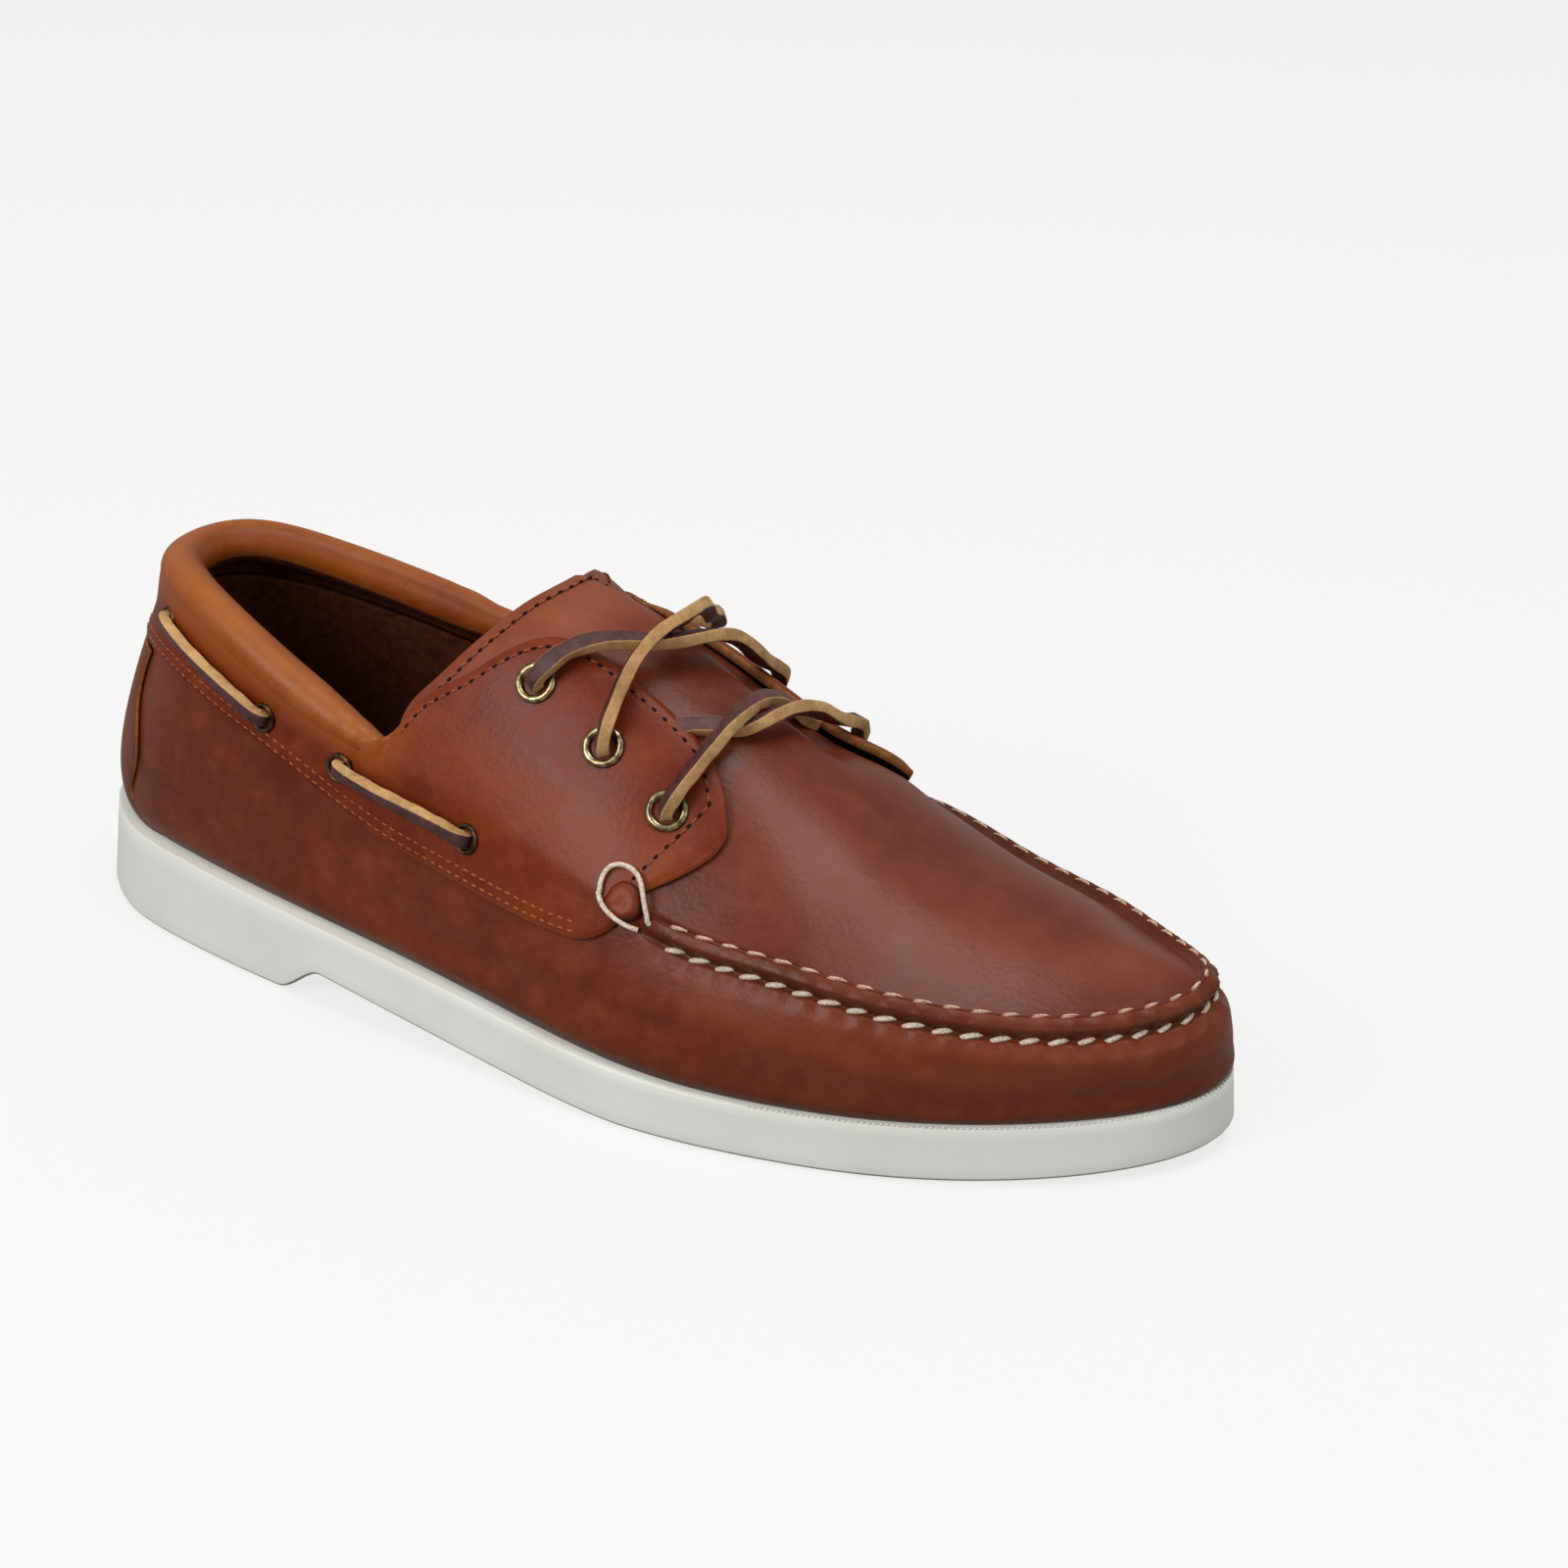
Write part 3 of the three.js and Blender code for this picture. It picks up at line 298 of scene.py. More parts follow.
sole_numbers = np.concatenate([tread_rows, np.repeat([1, 0], SOLE_STATIONS // 2)])
rubber = moulded_rubber("pale_moulded_rubber", "#eeefe9", "#e4e5dd")
rubber_tread = moulded_rubber("painted_shade_tread_rubber", "#a5a79c", "#8b8d82")
outsole = capped_ring("rubber_outsole", ring_grid, [rubber, rubber_tread], sole_numbers)
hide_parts("outsole")

# Vamp and moccasin plug
# One oiled pull-up leather makes the vamp, which wraps up from the sole, and the plug on
# top of the toes. They are sewn together by hand over a raised, puckered seam.

COLLAR_HEIGHT, INSTEP_HEIGHT = 84.0, 103.5
UPPER_WALL, TUCK, GAP = 2.2, 3.6, .3         # mm, leather, turn of the wall's foot, room between pieces
SEAM_HEIGHT, SEAM_HALF = 2.2, 2.6            # mm, height and half width of the raised seam
STITCH_PITCH, PLEAT_PITCH = 6.1, 1.9         # mm along the moccasin seam

# share along the shoulder, half widths of the ball width, heights of the collar height
SHOULDER = np.array([
    (0, 0, 0, 1.036, 1.036), (.03, .149, .149, 1.034, 1.032), (.09, .238, .238, .994, .974),
    (.18, .294, .304, .880, .888), (.28, .331, .340, .766, .806), (.38, .375, .370, .712, .738),
    (.46, .413, .394, .650, .662), (.54, .445, .411, .585, .582), (.60, .457, .418, .530, .520),
    (.68, .462, .415, .507, .488), (.78, .442, .365, .472, .428), (.86, .380, .298, .441, .409),
    (.935, .274, .178, .427, .414), (.98, .154, .072, .428, .434), (1, .038, -.038, .446, .446),
])
SHOULDER_BACK, SHOULDER_TOE = .094, .977     # shares of the length where the shoulder line ends
# share of the length, height of the instep height, side of the ball width
RIDGE = np.array([
    (.339, .975, 0), (.407, .982, 0), (.458, .972, 0), (.508, .922, -.003), (.559, .857, -.006),
    (.610, .778, -.012), (.678, .665, -.022), (.753, .552, -.033), (.820, .483, -.040),
    (.868, .446, -.045),
])
# share, inset of the wall's foot on both sides in mm, angles of arriving at and leaving the shoulder
WALL = np.array([
    (0, 2.6, 2.6, 66, 60), (.05, 2.6, 2.6, 68, 62), (.15, 2.6, 3.0, 74, 66), (.30, 2.8, 3.2, 80, 70),
    (.45, 2.3, 3.0, 74, 66), (.60, 1.7, 2.2, 62, 50), (.70, 1.6, 1.9, 53, 36), (.80, 1.7, 1.8, 50, 26),
    (.90, 1.9, 1.9, 50, 21), (.98, 1.3, 1.3, 54, 18), (1, 1.1, 1.1, 56, 17),
])
# share, handles of the wall's curve as shares of its height
HANDLE = np.array([(0, .10, .36), (.35, .18, .40), (.60, .30, .40), (.80, .31, .45), (1, .32, .45)])

shoulder_side = ring(SHOULDER[:, 0], -SHOULDER[:, 1], SHOULDER[:, 2])
shoulder_height = ring(SHOULDER[:, 0], SHOULDER[:, 3], SHOULDER[:, 4])
foot_inset = ring(WALL[:, 0], WALL[:, 1], WALL[:, 2])
arrive_angle = ring(WALL[:, 0], WALL[:, 3], WALL[:, 3])
leave_angle = ring(WALL[:, 0], WALL[:, 4], WALL[:, 4])
handle_rise = smooth_curve(HANDLE[:, 0], HANDLE[:, 1])
handle_fall = smooth_curve(HANDLE[:, 0], HANDLE[:, 2])
ridge_rise = smooth_curve(RIDGE[:, 0], RIDGE[:, 1])
ridge_side = smooth_curve(RIDGE[:, 0], RIDGE[:, 2])


def shoulder(angle):
    """Point of the shoulder line, the moccasin seam in front and the collar behind."""
    x = LENGTH * (SHOULDER_BACK + (SHOULDER_TOE - SHOULDER_BACK) * share_at(angle))
    return np.stack([x, BALL_WIDTH * shoulder_side(angle), COLLAR_HEIGHT * shoulder_height(angle)], -1)


def bezier(corners, t):
    """Cubic curve from four corner points."""
    t = t[..., None]
    a, b, c, d = corners
    return (1 - t) ** 3 * a + 3 * t * (1 - t) ** 2 * b + 3 * t * t * (1 - t) * c + t ** 3 * d


def wall_corners(angle):
    """Curve of the last's wall: foot on the sole, two handles, shoulder."""
    edge, out = sole_edge(angle), outward(angle)
    start = edge - out * (foot_inset(angle) + TUCK)[..., None]
    foot = np.concatenate([start, (seat_height(edge[..., 0]) + GAP)[..., None]], -1)
    top = shoulder(angle)
    height = top[..., 2] - foot[..., 2]
    share = edge[..., 0] / LENGTH
    bulge = foot + np.concatenate([out * TUCK * 1.6, (height * handle_rise(share))[..., None]], -1)
    slope, reach = np.radians(arrive_angle(angle)), height * handle_fall(share)
    below = top + np.concatenate([out * (np.cos(slope) * reach)[..., None],
                                  (-np.sin(slope) * reach)[..., None]], -1)
    return foot, bulge, below, top


def top_corners(angle):
    """Curve of the last's top: shoulder, two handles, ridge. Past the ridge's front end all
    curves meet in that end."""
    start = shoulder(angle)
    x = np.clip(start[..., 0], LENGTH * RIDGE[0, 0], LENGTH * RIDGE[-1, 0])
    height = lambda place: INSTEP_HEIGHT * ridge_rise(place / LENGTH)
    ridge = np.stack([x, BALL_WIDTH * ridge_side(x / LENGTH), height(x)], -1)
    pitch = height(x + .5) - height(x - .5)
    way = ridge[..., :2] - start[..., :2]
    distance = np.linalg.norm(way, axis=-1)
    way = way / distance[..., None]
    degrees = leave_angle(angle)
    slope = np.radians(degrees)
    reach = distance * .38 * np.interp(degrees, [15, 70], [1, .75]) / np.maximum(np.cos(slope), .45)
    above = start + np.concatenate([way * (np.cos(slope) * reach)[..., None],
                                    (np.sin(slope) * reach)[..., None]], -1)
    before = ridge - np.concatenate([way * (distance / 2)[..., None],
                                     (pitch * way[..., 0] * distance / 2)[..., None]], -1)
    return start, above, before, ridge


INNER_DROP = 4.5                             # mm that the worn instep sinks on its inner side


def last_point(angle, level):
    """Point on the last: level 0 is the foot, 1 the shoulder, 2 the ridge. The instep falls
    off more on its inner side than the plain curve."""
    angle, level = np.broadcast_arrays(np.asarray(angle, float), np.asarray(level, float))
    wall = bezier(wall_corners(angle), np.clip(level, 0, 1))
    top = bezier(top_corners(angle), np.clip(level - 1, 0, 1))
    share = share_at(angle)
    drop = smooth((share - .385) / .05) * (1 - smooth((share - .61) / .09))
    drop = drop * smooth((level - 1.2) / .4) * smooth((2 - level) / .14)
    top[..., 2] -= np.where(angle < 0, INNER_DROP * drop, 0)
    return np.where((level <= 1)[..., None], wall, top)


def unit(vectors):
    """Vectors of length 1."""
    return vectors / np.maximum(np.linalg.norm(vectors, axis=-1, keepdims=True), 1e-12)


def last_normal(angle, level, step=1e-3):
    """Direction straight out of the last, across its two directions."""
    angle, level = np.broadcast_arrays(np.asarray(angle, float), np.asarray(level, float))
    place = np.clip(level, 2 * step, 1.988)
    around = last_point(angle + step, place) - last_point(angle - step, place)
    up = last_point(angle, place + step) - last_point(angle, place - step)
    normal = unit(np.cross(around, up))
    x = top_corners(angle)[3][..., 0]
    pitch = INSTEP_HEIGHT * (ridge_rise((x + .5) / LENGTH) - ridge_rise((x - .5) / LENGTH))
    ridge = unit(np.stack([-pitch, 0 * pitch, 1 + 0 * pitch], -1))
    near = smooth((level - 1.93) / .07)[..., None]
    return unit(normal * (1 - near) + ridge * near)


def layer(angle, level, height):
    """Point at a height in mm over the last."""
    height = np.asarray(height, float)
    return last_point(angle, level) + last_normal(angle, level) * height[..., None]


def level_scale(angle):
    """Mm per unit of level just under and just over the shoulder."""
    wall, top = wall_corners(angle), top_corners(angle)
    return (3 * np.linalg.norm(wall[3] - wall[2], axis=-1),
            3 * np.linalg.norm(top[1] - top[0], axis=-1))


def level_near(angle, distance):
    """Level that lies this many mm over the shoulder, or under it where negative."""
    below, above = level_scale(angle)
    return 1 + np.where(distance < 0, distance / below, distance / above)


# arc length along the seam from the heel, for puckers and stitches that match
round_angle = np.linspace(0, 2 * np.pi, 4001)
round_steps = np.linalg.norm(np.diff(shoulder(round_angle), axis=0), axis=1)
round_length = np.append(0, np.cumsum(round_steps))


def run_at(angle):
    """Mm along the shoulder line from the heel, outer side first."""
    return np.interp(np.asarray(angle) % (2 * np.pi), round_angle, round_length)


FLAP_BACK, INNER_REACH, INNER_FLAP_RISE = .301, .18, .08     # share, stretch of the inner flap
OUTER_FLAP_LIFT, INNER_FLAP_LIFT = .6, 1.2   # mm that the flaps' fronts stand off
SEAM_START = {1: .578, -1: .625}             # share where the raised seam comes out of the flap


def seam_share(angle):
    """0 under the flaps, 1 where the raised seam is open."""
    start = np.where(angle < 0, SEAM_START[-1], SEAM_START[1])
    return smooth((share_at(angle) - start + .012) / .035)


def seam_relief(angle, distance):
    """Height over the last near the seam, by distance across it in mm: a steep ridge with a
    rounded crown and fine pleats, a crease on each side where the threads pull in, puckers
    between the stitches and a swell under them that grow towards the toe."""
    run = run_at(angle)
    toe = smooth((share_at(angle) - .62) / .3)
    crown = SEAM_HEIGHT * smooth((distance + SEAM_HALF + .5) / 2.2) * (1 - smooth((distance - .7) / 2.0))
    pleats = -.16 * bump(distance + 1.3, 1.1) * np.sin(2 * np.pi * run / PLEAT_PITCH + 2 * np.sin(run / 4))
    crease = -.9 * bump(distance + 3.1, .8) - .35 * bump(distance - 1.9, .5)
    wave = .5 + .5 * np.cos(2 * np.pi * run / STITCH_PITCH)
    pucker = (-.8 * bump(distance + 4.8, 2.4) - .5 * bump(distance + .6, 1.2)) * wave * (.5 + .5 * toe)
    swell = .9 * bump(distance + 7.5, 4.5) * toe
    return (crown + crease + pucker + swell + pleats) * seam_share(angle)


def creases(angle, level):
    """Soft creases of worn leather: places as share, level, and size."""
    share, total = share_at(angle), 0
    for side, s, l, width, height, tilt, depth in CREASES:
        a, b = share - s, (level - l)
        along, across = a / width + b * tilt / width, b / height - a * tilt / height
        total = total + np.where(np.sign(angle) == side, depth * np.exp(-along ** 2 - across ** 2), 0)
    return total * (1 - smooth((level - 1.6) / .3))


# side, share, level, width in share, height in level, tilt, depth in mm
CREASES = [
    (1, .45, .30, .10, .12, .2, -.7), (1, .60, .42, .07, .10, -.3, -.6), (1, .72, .55, .05, .16, .1, .5),
    (1, .30, .40, .06, .20, .1, -.6), (1, .85, .45, .05, .20, 0, .5), (-1, .45, .30, .10, .12, .2, -.7),
    (-1, .62, .42, .07, .10, -.3, -.6), (1, .70, 1.5, .03, .25, .1, -.5), (-1, .72, 1.5, .03, .25, -.1, -.5),
    (1, .78, 1.7, .03, .3, 0, .35), (-1, .16, .45, .06, .20, 0, -.6),
]


PAINTED_SHADE_COLOUR = "#1d0903"                     # painted shade: the dark colour mixed in where the shade attribute is set, in creases, crevices and beside seams


def oiled_leather(name, deep, mid, glow, rough=.42, mottle=28):
    """Oiled pull-up leather, tumbled and waxed: clouds of colour where the oil has moved, paler
    stains, a paler tone where the glow attribute is set (painted highlight, and on the quarter also
    paler leather), painted shade where the shade attribute is set, fine grain cells and faint
    wrinkles in the relief."""
    material, tree, shader, place = new_material(name)
    clouds = add(tree, "ShaderNodeTexNoise", {"Vector": place, "Scale": per(mottle), "Detail": 5.0,
                                              "Roughness": .6})
    stain = add(tree, "ShaderNodeTexNoise", {"Vector": place, "Scale": per(7), "Detail": 4.0,
                                             "Roughness": .65})
    cloudy = add(tree, "ShaderNodeMapRange", {0: clouds.outputs[0], 1: .2, 2: .8})
    stained = add(tree, "ShaderNodeMapRange", {0: stain.outputs[0], 1: .45, 2: .8, 4: .28})
    creased = add(tree, "ShaderNodeAttribute", attribute_name="shade").outputs["Fac"]
    crease_shade_mix = add(tree, "ShaderNodeMath", {0: creased, 1: .85}, operation="MULTIPLY")
    glow_amount = add(tree, "ShaderNodeAttribute", attribute_name="glow").outputs["Fac"]
    tone = linear(deep)
    for amount, colour in ((cloudy.outputs[0], mid), (stained.outputs[0], glow),
                           (crease_shade_mix.outputs[0], PAINTED_SHADE_COLOUR), (glow_amount, glow)):
        mix = add(tree, "ShaderNodeMix", {0: amount, 6: tone, 7: linear(colour)}, data_type="RGBA")
        tone = mix.outputs[2]
    tree.links.new(tone, shader.inputs["Base Color"])
    cells = add(tree, "ShaderNodeTexVoronoi", {"Vector": place, "Scale": per(1.1), "Smoothness": .6},
                feature="SMOOTH_F1")
    wrinkle = add(tree, "ShaderNodeTexNoise", {"Vector": place, "Scale": per(3.2), "Detail": 5.0,
                                               "Roughness": .7})
    height = add(tree, "ShaderNodeMath", {0: cells.outputs[0], 1: .5, 2: wrinkle.outputs[0]},
                 operation="MULTIPLY_ADD")
    relief = add(tree, "ShaderNodeBump", {"Height": height.outputs[0], "Strength": .22, "Distance": .0004})
    tree.links.new(relief.outputs[0], shader.inputs["Normal"])
    polish = add(tree, "ShaderNodeMapRange", {0: stain.outputs[0], 1: .3, 2: .7, 3: rough - .05,
                                              4: rough + .09})
    tree.links.new(polish.outputs[0], shader.inputs["Roughness"])
    shader.inputs["IOR"].default_value = 1.47
    shader.inputs["Specular IOR Level"].default_value = .25
    return material


def suede(name, deep, mid):
    """Rough flesh side of leather or suede lining: matt, with a short nap in two tones."""
    material, tree, shader, place = new_material(name)
    nap = add(tree, "ShaderNodeTexNoise", {"Vector": place, "Scale": per(2.4), "Detail": 6.0,
                                           "Roughness": .75})
    dress(tree, shader, nap, (.35, .65), (deep, mid), nap, .5, .4)
    shader.inputs["Roughness"].default_value = .9
    shader.inputs["Specular IOR Level"].default_value = .2
    return material


vamp_leather = oiled_leather("oiled_vamp_leather", "#5c2208", "#7b3615", "#95502b", rough=.38)
# the plug takes a darker copy of the vamp's leather: painted shade on its upper face
plug_leather = oiled_leather("oiled_plug_leather", "#541d09", "#6e2f16", "#8f4e33", rough=.33)
lining = suede("brushed_leather_lining", "#3c1504", "#5c2a10")
raw_edge = suede("raw_cut_leather_edge", "#7d4722", "#a8713f")


def sheet(name, outer, inner, materials, attributes=None):
    """Closed piece of leather from two matching grids. Outer points in one place are joined,
    the inner face is turned over, and a strip closes the rim along the free edges."""
    rows, columns = outer.shape[:2]
    index = np.arange(rows * columns).reshape(rows, columns)
    front = grid_quads(index)
    outer, inner = outer.reshape(-1, 3), inner.reshape(-1, 3)
    _, kept, joined = np.unique(np.round(outer, 3), axis=0, return_index=True, return_inverse=True)
    front, count = joined.ravel()[front], len(kept)
    repeats = (front == np.roll(front, -1, axis=1)).sum(1)
    front = front[repeats < 2]
    edges = np.stack([front, np.roll(front, -1, axis=1)], -1).reshape(-1, 2)
    edges = edges[edges[:, 0] != edges[:, 1]]
    free = edges[~np.isin(edges[:, 0] * count + edges[:, 1], edges[:, 1] * count + edges[:, 0])]
    rim = np.stack([free[:, 1], free[:, 0], free[:, 0] + count, free[:, 1] + count], -1)
    faces = np.concatenate([front, front[:, ::-1] + count, rim])
    numbers = np.repeat([0, 1, 2], [len(front), len(front), len(rim)])
    both = {key: np.tile(np.ravel(v)[kept], 2) for key, v in (attributes or {}).items()}
    return mesh_piece(name, np.concatenate([outer[kept], inner[kept]]), faces, materials, numbers, both)


# wall of the vamp, open at the heel only where its two ends meet under the backstay
SEAM_REACH, BAND_REACH = 9.0, 1.2            # mm under and over the shoulder with fine rows
OVERHANG, TOE_OVERHANG = 1.3, 1.1            # mm that the foot of the wall swells over the sole
wall_angle = np.linspace(-np.pi, np.pi, 721)
topline = np.interp(share_at(wall_angle), [.28, .36], [.86, 1])
has_seam = share_at(wall_angle) > .5
wall_top = np.where(has_seam, level_near(wall_angle, -SEAM_REACH), topline - .08)
climb = np.linspace(0, 1, 30) ** .9
seam_steps = np.linspace(-SEAM_REACH, BAND_REACH, 26)
low_levels = wall_top[:, None] * climb[None, :]
seam_levels = np.where(has_seam[:, None], level_near(wall_angle[:, None], seam_steps[None, :]),
                       (topline - .08)[:, None] + .08 * np.linspace(0, 1, 26)[None, :])
wall_levels = np.hstack([low_levels, seam_levels[:, 1:]])
wall_angles = np.broadcast_to(wall_angle[:, None], wall_levels.shape)
below, above = level_scale(wall_angles)
across = np.where(wall_levels < 1, (wall_levels - 1) * below, (wall_levels - 1) * above)
overhang = OVERHANG + TOE_OVERHANG * smooth((share_at(wall_angles) - .5) / .3)
relief = seam_relief(wall_angles, across) + creases(wall_angles, wall_levels)
relief = relief + overhang * bump(wall_levels - .08, .15)
wall_outer = layer(wall_angles, wall_levels, relief)
wall_inner = layer(wall_angles, wall_levels, np.full(wall_levels.shape, -UPPER_WALL))
band = bump(across + SEAM_HALF, 1.0) * .45 + bump(across + .9, 1.2) * .3
crevice = bump(wall_levels, .10) * .9 + seam_share(wall_angles) * band
# glow paints a highlight along the wall's middle, growing towards the toe
glow = np.clip(.30 * bump(wall_levels - .62, .22) * smooth((share_at(wall_angles) - .55) / .3), 0, 1)
vamp = sheet("vamp_leather", wall_outer, wall_inner, [vamp_leather, lining, lining],
             {"shade": np.clip(crevice, 0, 1), "glow": glow})
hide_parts("upper")

# plug over the toes, its edge turned down over the seam
PLUG_REACH = 7.0                             # mm from the seam with fine rows
plug_angle = np.linspace(np.pi / 2, 3 * np.pi / 2, 361)
plug_angle = np.where(plug_angle > np.pi, plug_angle - 2 * np.pi, plug_angle)
start_level = level_near(plug_angle, PLUG_REACH)
plug_levels = np.hstack([
    level_near(plug_angle[:, None], np.linspace(.9, PLUG_REACH, 20)[None, :]),
    start_level[:, None] + (2 - start_level[:, None]) * np.linspace(0, 1, 35)[None, 1:]])
plug_angles = np.broadcast_to(plug_angle[:, None], plug_levels.shape)
_, above = level_scale(plug_angles)
across = (plug_levels - 1) * above
relief = seam_relief(plug_angles, across) + creases(plug_angles, plug_levels)
relief = relief + .45 * bump(across - .9, .9)
plug_outer = layer(plug_angles, plug_levels, relief)
plug_inner = layer(plug_angles, plug_levels, np.full(plug_levels.shape, -UPPER_WALL + .2))
# glow paints a highlight along the plug's upper slope, growing towards the toe
glow = .42 * bump(plug_levels - 1.55, .35) * smooth((share_at(plug_angles) - .5) / .2)
shade = .35 * bump(across - 1.9, .7) * seam_share(plug_angles)
plug = sheet("moccasin_plug", plug_outer, plug_inner, [plug_leather, lining, vamp_leather],
             {"shade": shade, "glow": glow})

# Tongue
# One flat piece of the same leather over the instep. It runs on from the plug under both
# flaps, and its free end is sewn with one row of stitches.

TONGUE_WALL = 2.0                            # mm
# level, share along the shoulder of the tongue's free end
TONGUE_END = np.array([
    (1.04, .305), (1.12, .306), (1.225, .315), (1.315, .331), (1.40, .345), (1.485, .358),
    (1.575, .371), (1.665, .382), (1.755, .392), (1.845, .401), (1.945, .407), (2, .408),
])
TONGUE_FRONT = .53                           # share where it ends under the plug
tongue_end = smooth_curve(TONGUE_END[:, 0], TONGUE_END[:, 1])


def tongue_place(along, across):
    """Angle and level on the tongue: across runs from its outer edge over the ridge to its
    inner edge, along from its free end to its front under the plug."""
    level = 2 - (2 - TONGUE_END[0, 0]) * np.abs(across)
    end = tongue_end(level) + np.where(across > 0, .010 * bump(level - 1.75, .2), 0)
    side = np.where(across < 0, 1, -1)
    return angle_at(side, end + (TONGUE_FRONT - end) * along), level


along, across = np.meshgrid(np.linspace(0, 1, 56) ** 1.15, np.linspace(-1, 1, 141), indexing="ij")
tongue_angle, tongue_level = tongue_place(along, across)
under_plug = -.35 * smooth((share_at(tongue_angle) - .47) / .03)
free = -.25 * bump(along, .03)
curl = -.4 * bump(along, .12) * bump(across, .5)
tongue_outer = layer(tongue_angle, tongue_level, under_plug + free + curl)
tongue_inner = layer(tongue_angle, tongue_level, under_plug + curl - TONGUE_WALL)
# the tongue takes a lighter copy of the plug's leather, and glow paints a highlight on its middle near the
# free end: painted light
tongue_leather = oiled_leather("oiled_tongue_leather", "#682a0f", "#854023", "#a05e3f")
tongue = sheet("tongue_leather", tongue_outer, tongue_inner, [tongue_leather, lining, tongue_leather],
               {"shade": np.zeros(along.shape), "glow": .4 * bump(along - .25, .25) * bump(across, .7)})
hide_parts("tongue")

# Quarter with its lacing flaps
# One long piece of warmer leather lies on the vamp from flap to flap round the heel. Its
# cut edges show pale, and the flaps' fronts stand a little off the tongue.

OVERLAY = 1.5                                # mm, thickness of the quarter
COLLAR_RADIUS, COLLAR_END_RADIUS, COLLAR_INSET = 5.2, 3.5, 1.2   # mm
COLLAR_END = .297                            # share of the length where the roll ends
COLLAR_SUNK = 3.3                            # mm of the roll's radius that the quarter's edge overlaps
# way from the heel to the front, lower edge share and level, upper edge share and level
QUARTER = np.array([
    (0, 0, .745, 0, 1), (.10, .040, .762, .035, 1), (.22, .106, .757, .095, 1),
    (.33, .164, .750, .150, 1), (.43, .221, .733, .205, 1), (.52, .279, .697, .262, 1),
    (.58, .318, .670, .301, 1.075), (.64, .352, .656, .330, 1.245), (.71, .393, .650, .372, 1.395),
    (.79, .440, .655, .439, 1.645), (.85, .476, .665, .499, 1.662), (.92, .515, .692, .560, 1.640),
    (.97, .542, .765, .605, 1.545), (1, .556, .880, .622, 1.400),
])
# rise along the flap's front edge, share, level
FLAP_FRONT = np.array([
    (0, .556, .88), (.25, .5635, 1.02), (.50, .583, 1.115), (.75, .607, 1.235), (.90, .6185, 1.325),
    (1, .622, 1.40),
])
EYELETS = np.array([(.432, 1.445), (.505, 1.375), (.570, 1.335)])
SIDE_HOLES = np.array([(.049, .885), (.175, .845), (.259, .86), (.402, .86)])
SIDES = (("outer", 1), ("inner", -1))


def flap_share(side, share, level):
    """The inner flap reaches further forward than the outer one, over the shoulder."""
    reach = np.where(side < 0, INNER_REACH * smooth((level - .7) / .3), 0)
    return share + np.maximum(share - FLAP_BACK, 0) * reach


def flap_level(side, share, level):
    """The inner flap also reaches a little closer to the ridge."""
    rise = smooth((level - 1.25) / .4) * smooth((share - .40) / .08)
    rise = rise * (1 - .5 * smooth((share - .63) / .06))
    return level + np.where(side < 0, INNER_FLAP_RISE * rise, 0)


def mirrored(values, sign):
    """Values of one side, turned round and joined on for the other."""
    return np.append(sign * values[:0:-1], values)


quarter_way = mirrored(QUARTER[:, 0], -1)
low_angle = smooth_curve(quarter_way, mirrored(angle_at(1, QUARTER[:, 1]), -1))
low_level = smooth_curve(quarter_way, mirrored(QUARTER[:, 2], 1))
high_angle = smooth_curve(quarter_way, mirrored(angle_at(1, QUARTER[:, 3]), -1))
high_level = smooth_curve(quarter_way, mirrored(QUARTER[:, 4], 1))
front_angle = smooth_curve(FLAP_FRONT[:, 0], angle_at(1, FLAP_FRONT[:, 1]))
front_level = smooth_curve(FLAP_FRONT[:, 0], FLAP_FRONT[:, 2])


def quarter_place(way, rise):
    """Angle and level on the quarter: straight from the lower to the upper edge, drawn out
    towards the rounded front edge by the sixth power of the way."""
    end = np.where(way < 0, -1.0, 1.0)
    pull = way ** 6
    straight = low_angle(way) + (high_angle(way) - low_angle(way)) * rise
    flat = low_angle(end) + (high_angle(end) - low_angle(end)) * rise
    angle = straight + pull * (end * front_angle(rise) - flat)
    flat = low_level(1) + (high_level(1) - low_level(1)) * rise
    level = low_level(way) + (high_level(way) - low_level(way)) * rise + pull * (front_level(rise) - flat)
    side = np.where(angle < 0, -1, 1)
    share = flap_share(side, share_at(angle), level)
    return angle_at(side, share), flap_level(side, share, level)


def flap_lift(angle, level):
    """How far the free front of a flap stands off the tongue."""
    lift = np.where(angle < 0, INNER_FLAP_LIFT, OUTER_FLAP_LIFT)
    return lift * smooth((level - 1.15) / .45) * smooth((share_at(angle) - .46) / .2)


def quarter_height(angle, level):
    """Height of the quarter's inner face over the last: a hair, more where it bridges the
    shoulder, and the flap's lift."""
    bridge = np.where(share_at(angle) < COLLAR_END, 0, np.clip(1 - np.abs(level - 1) / .25, 0, 1))
    return GAP * (1 + bridge) + flap_lift(angle, level)


def flap_frame(angle, level):
    """Place on the lifted flap's base and the direction straight out there."""
    point = lambda a, b: layer(a, b, flap_lift(a, b))
    step = .004
    normal = np.cross(point(angle + step, level) - point(angle - step, level),
                      point(angle, level + step) - point(angle, level - step))
    return point(angle, level), unit(normal)


def collar_radius(share):
    """Radius of the padded roll, tapering towards the front."""
    return COLLAR_RADIUS + (COLLAR_END_RADIUS - COLLAR_RADIUS) * smooth((share - .2) / (COLLAR_END - .2))


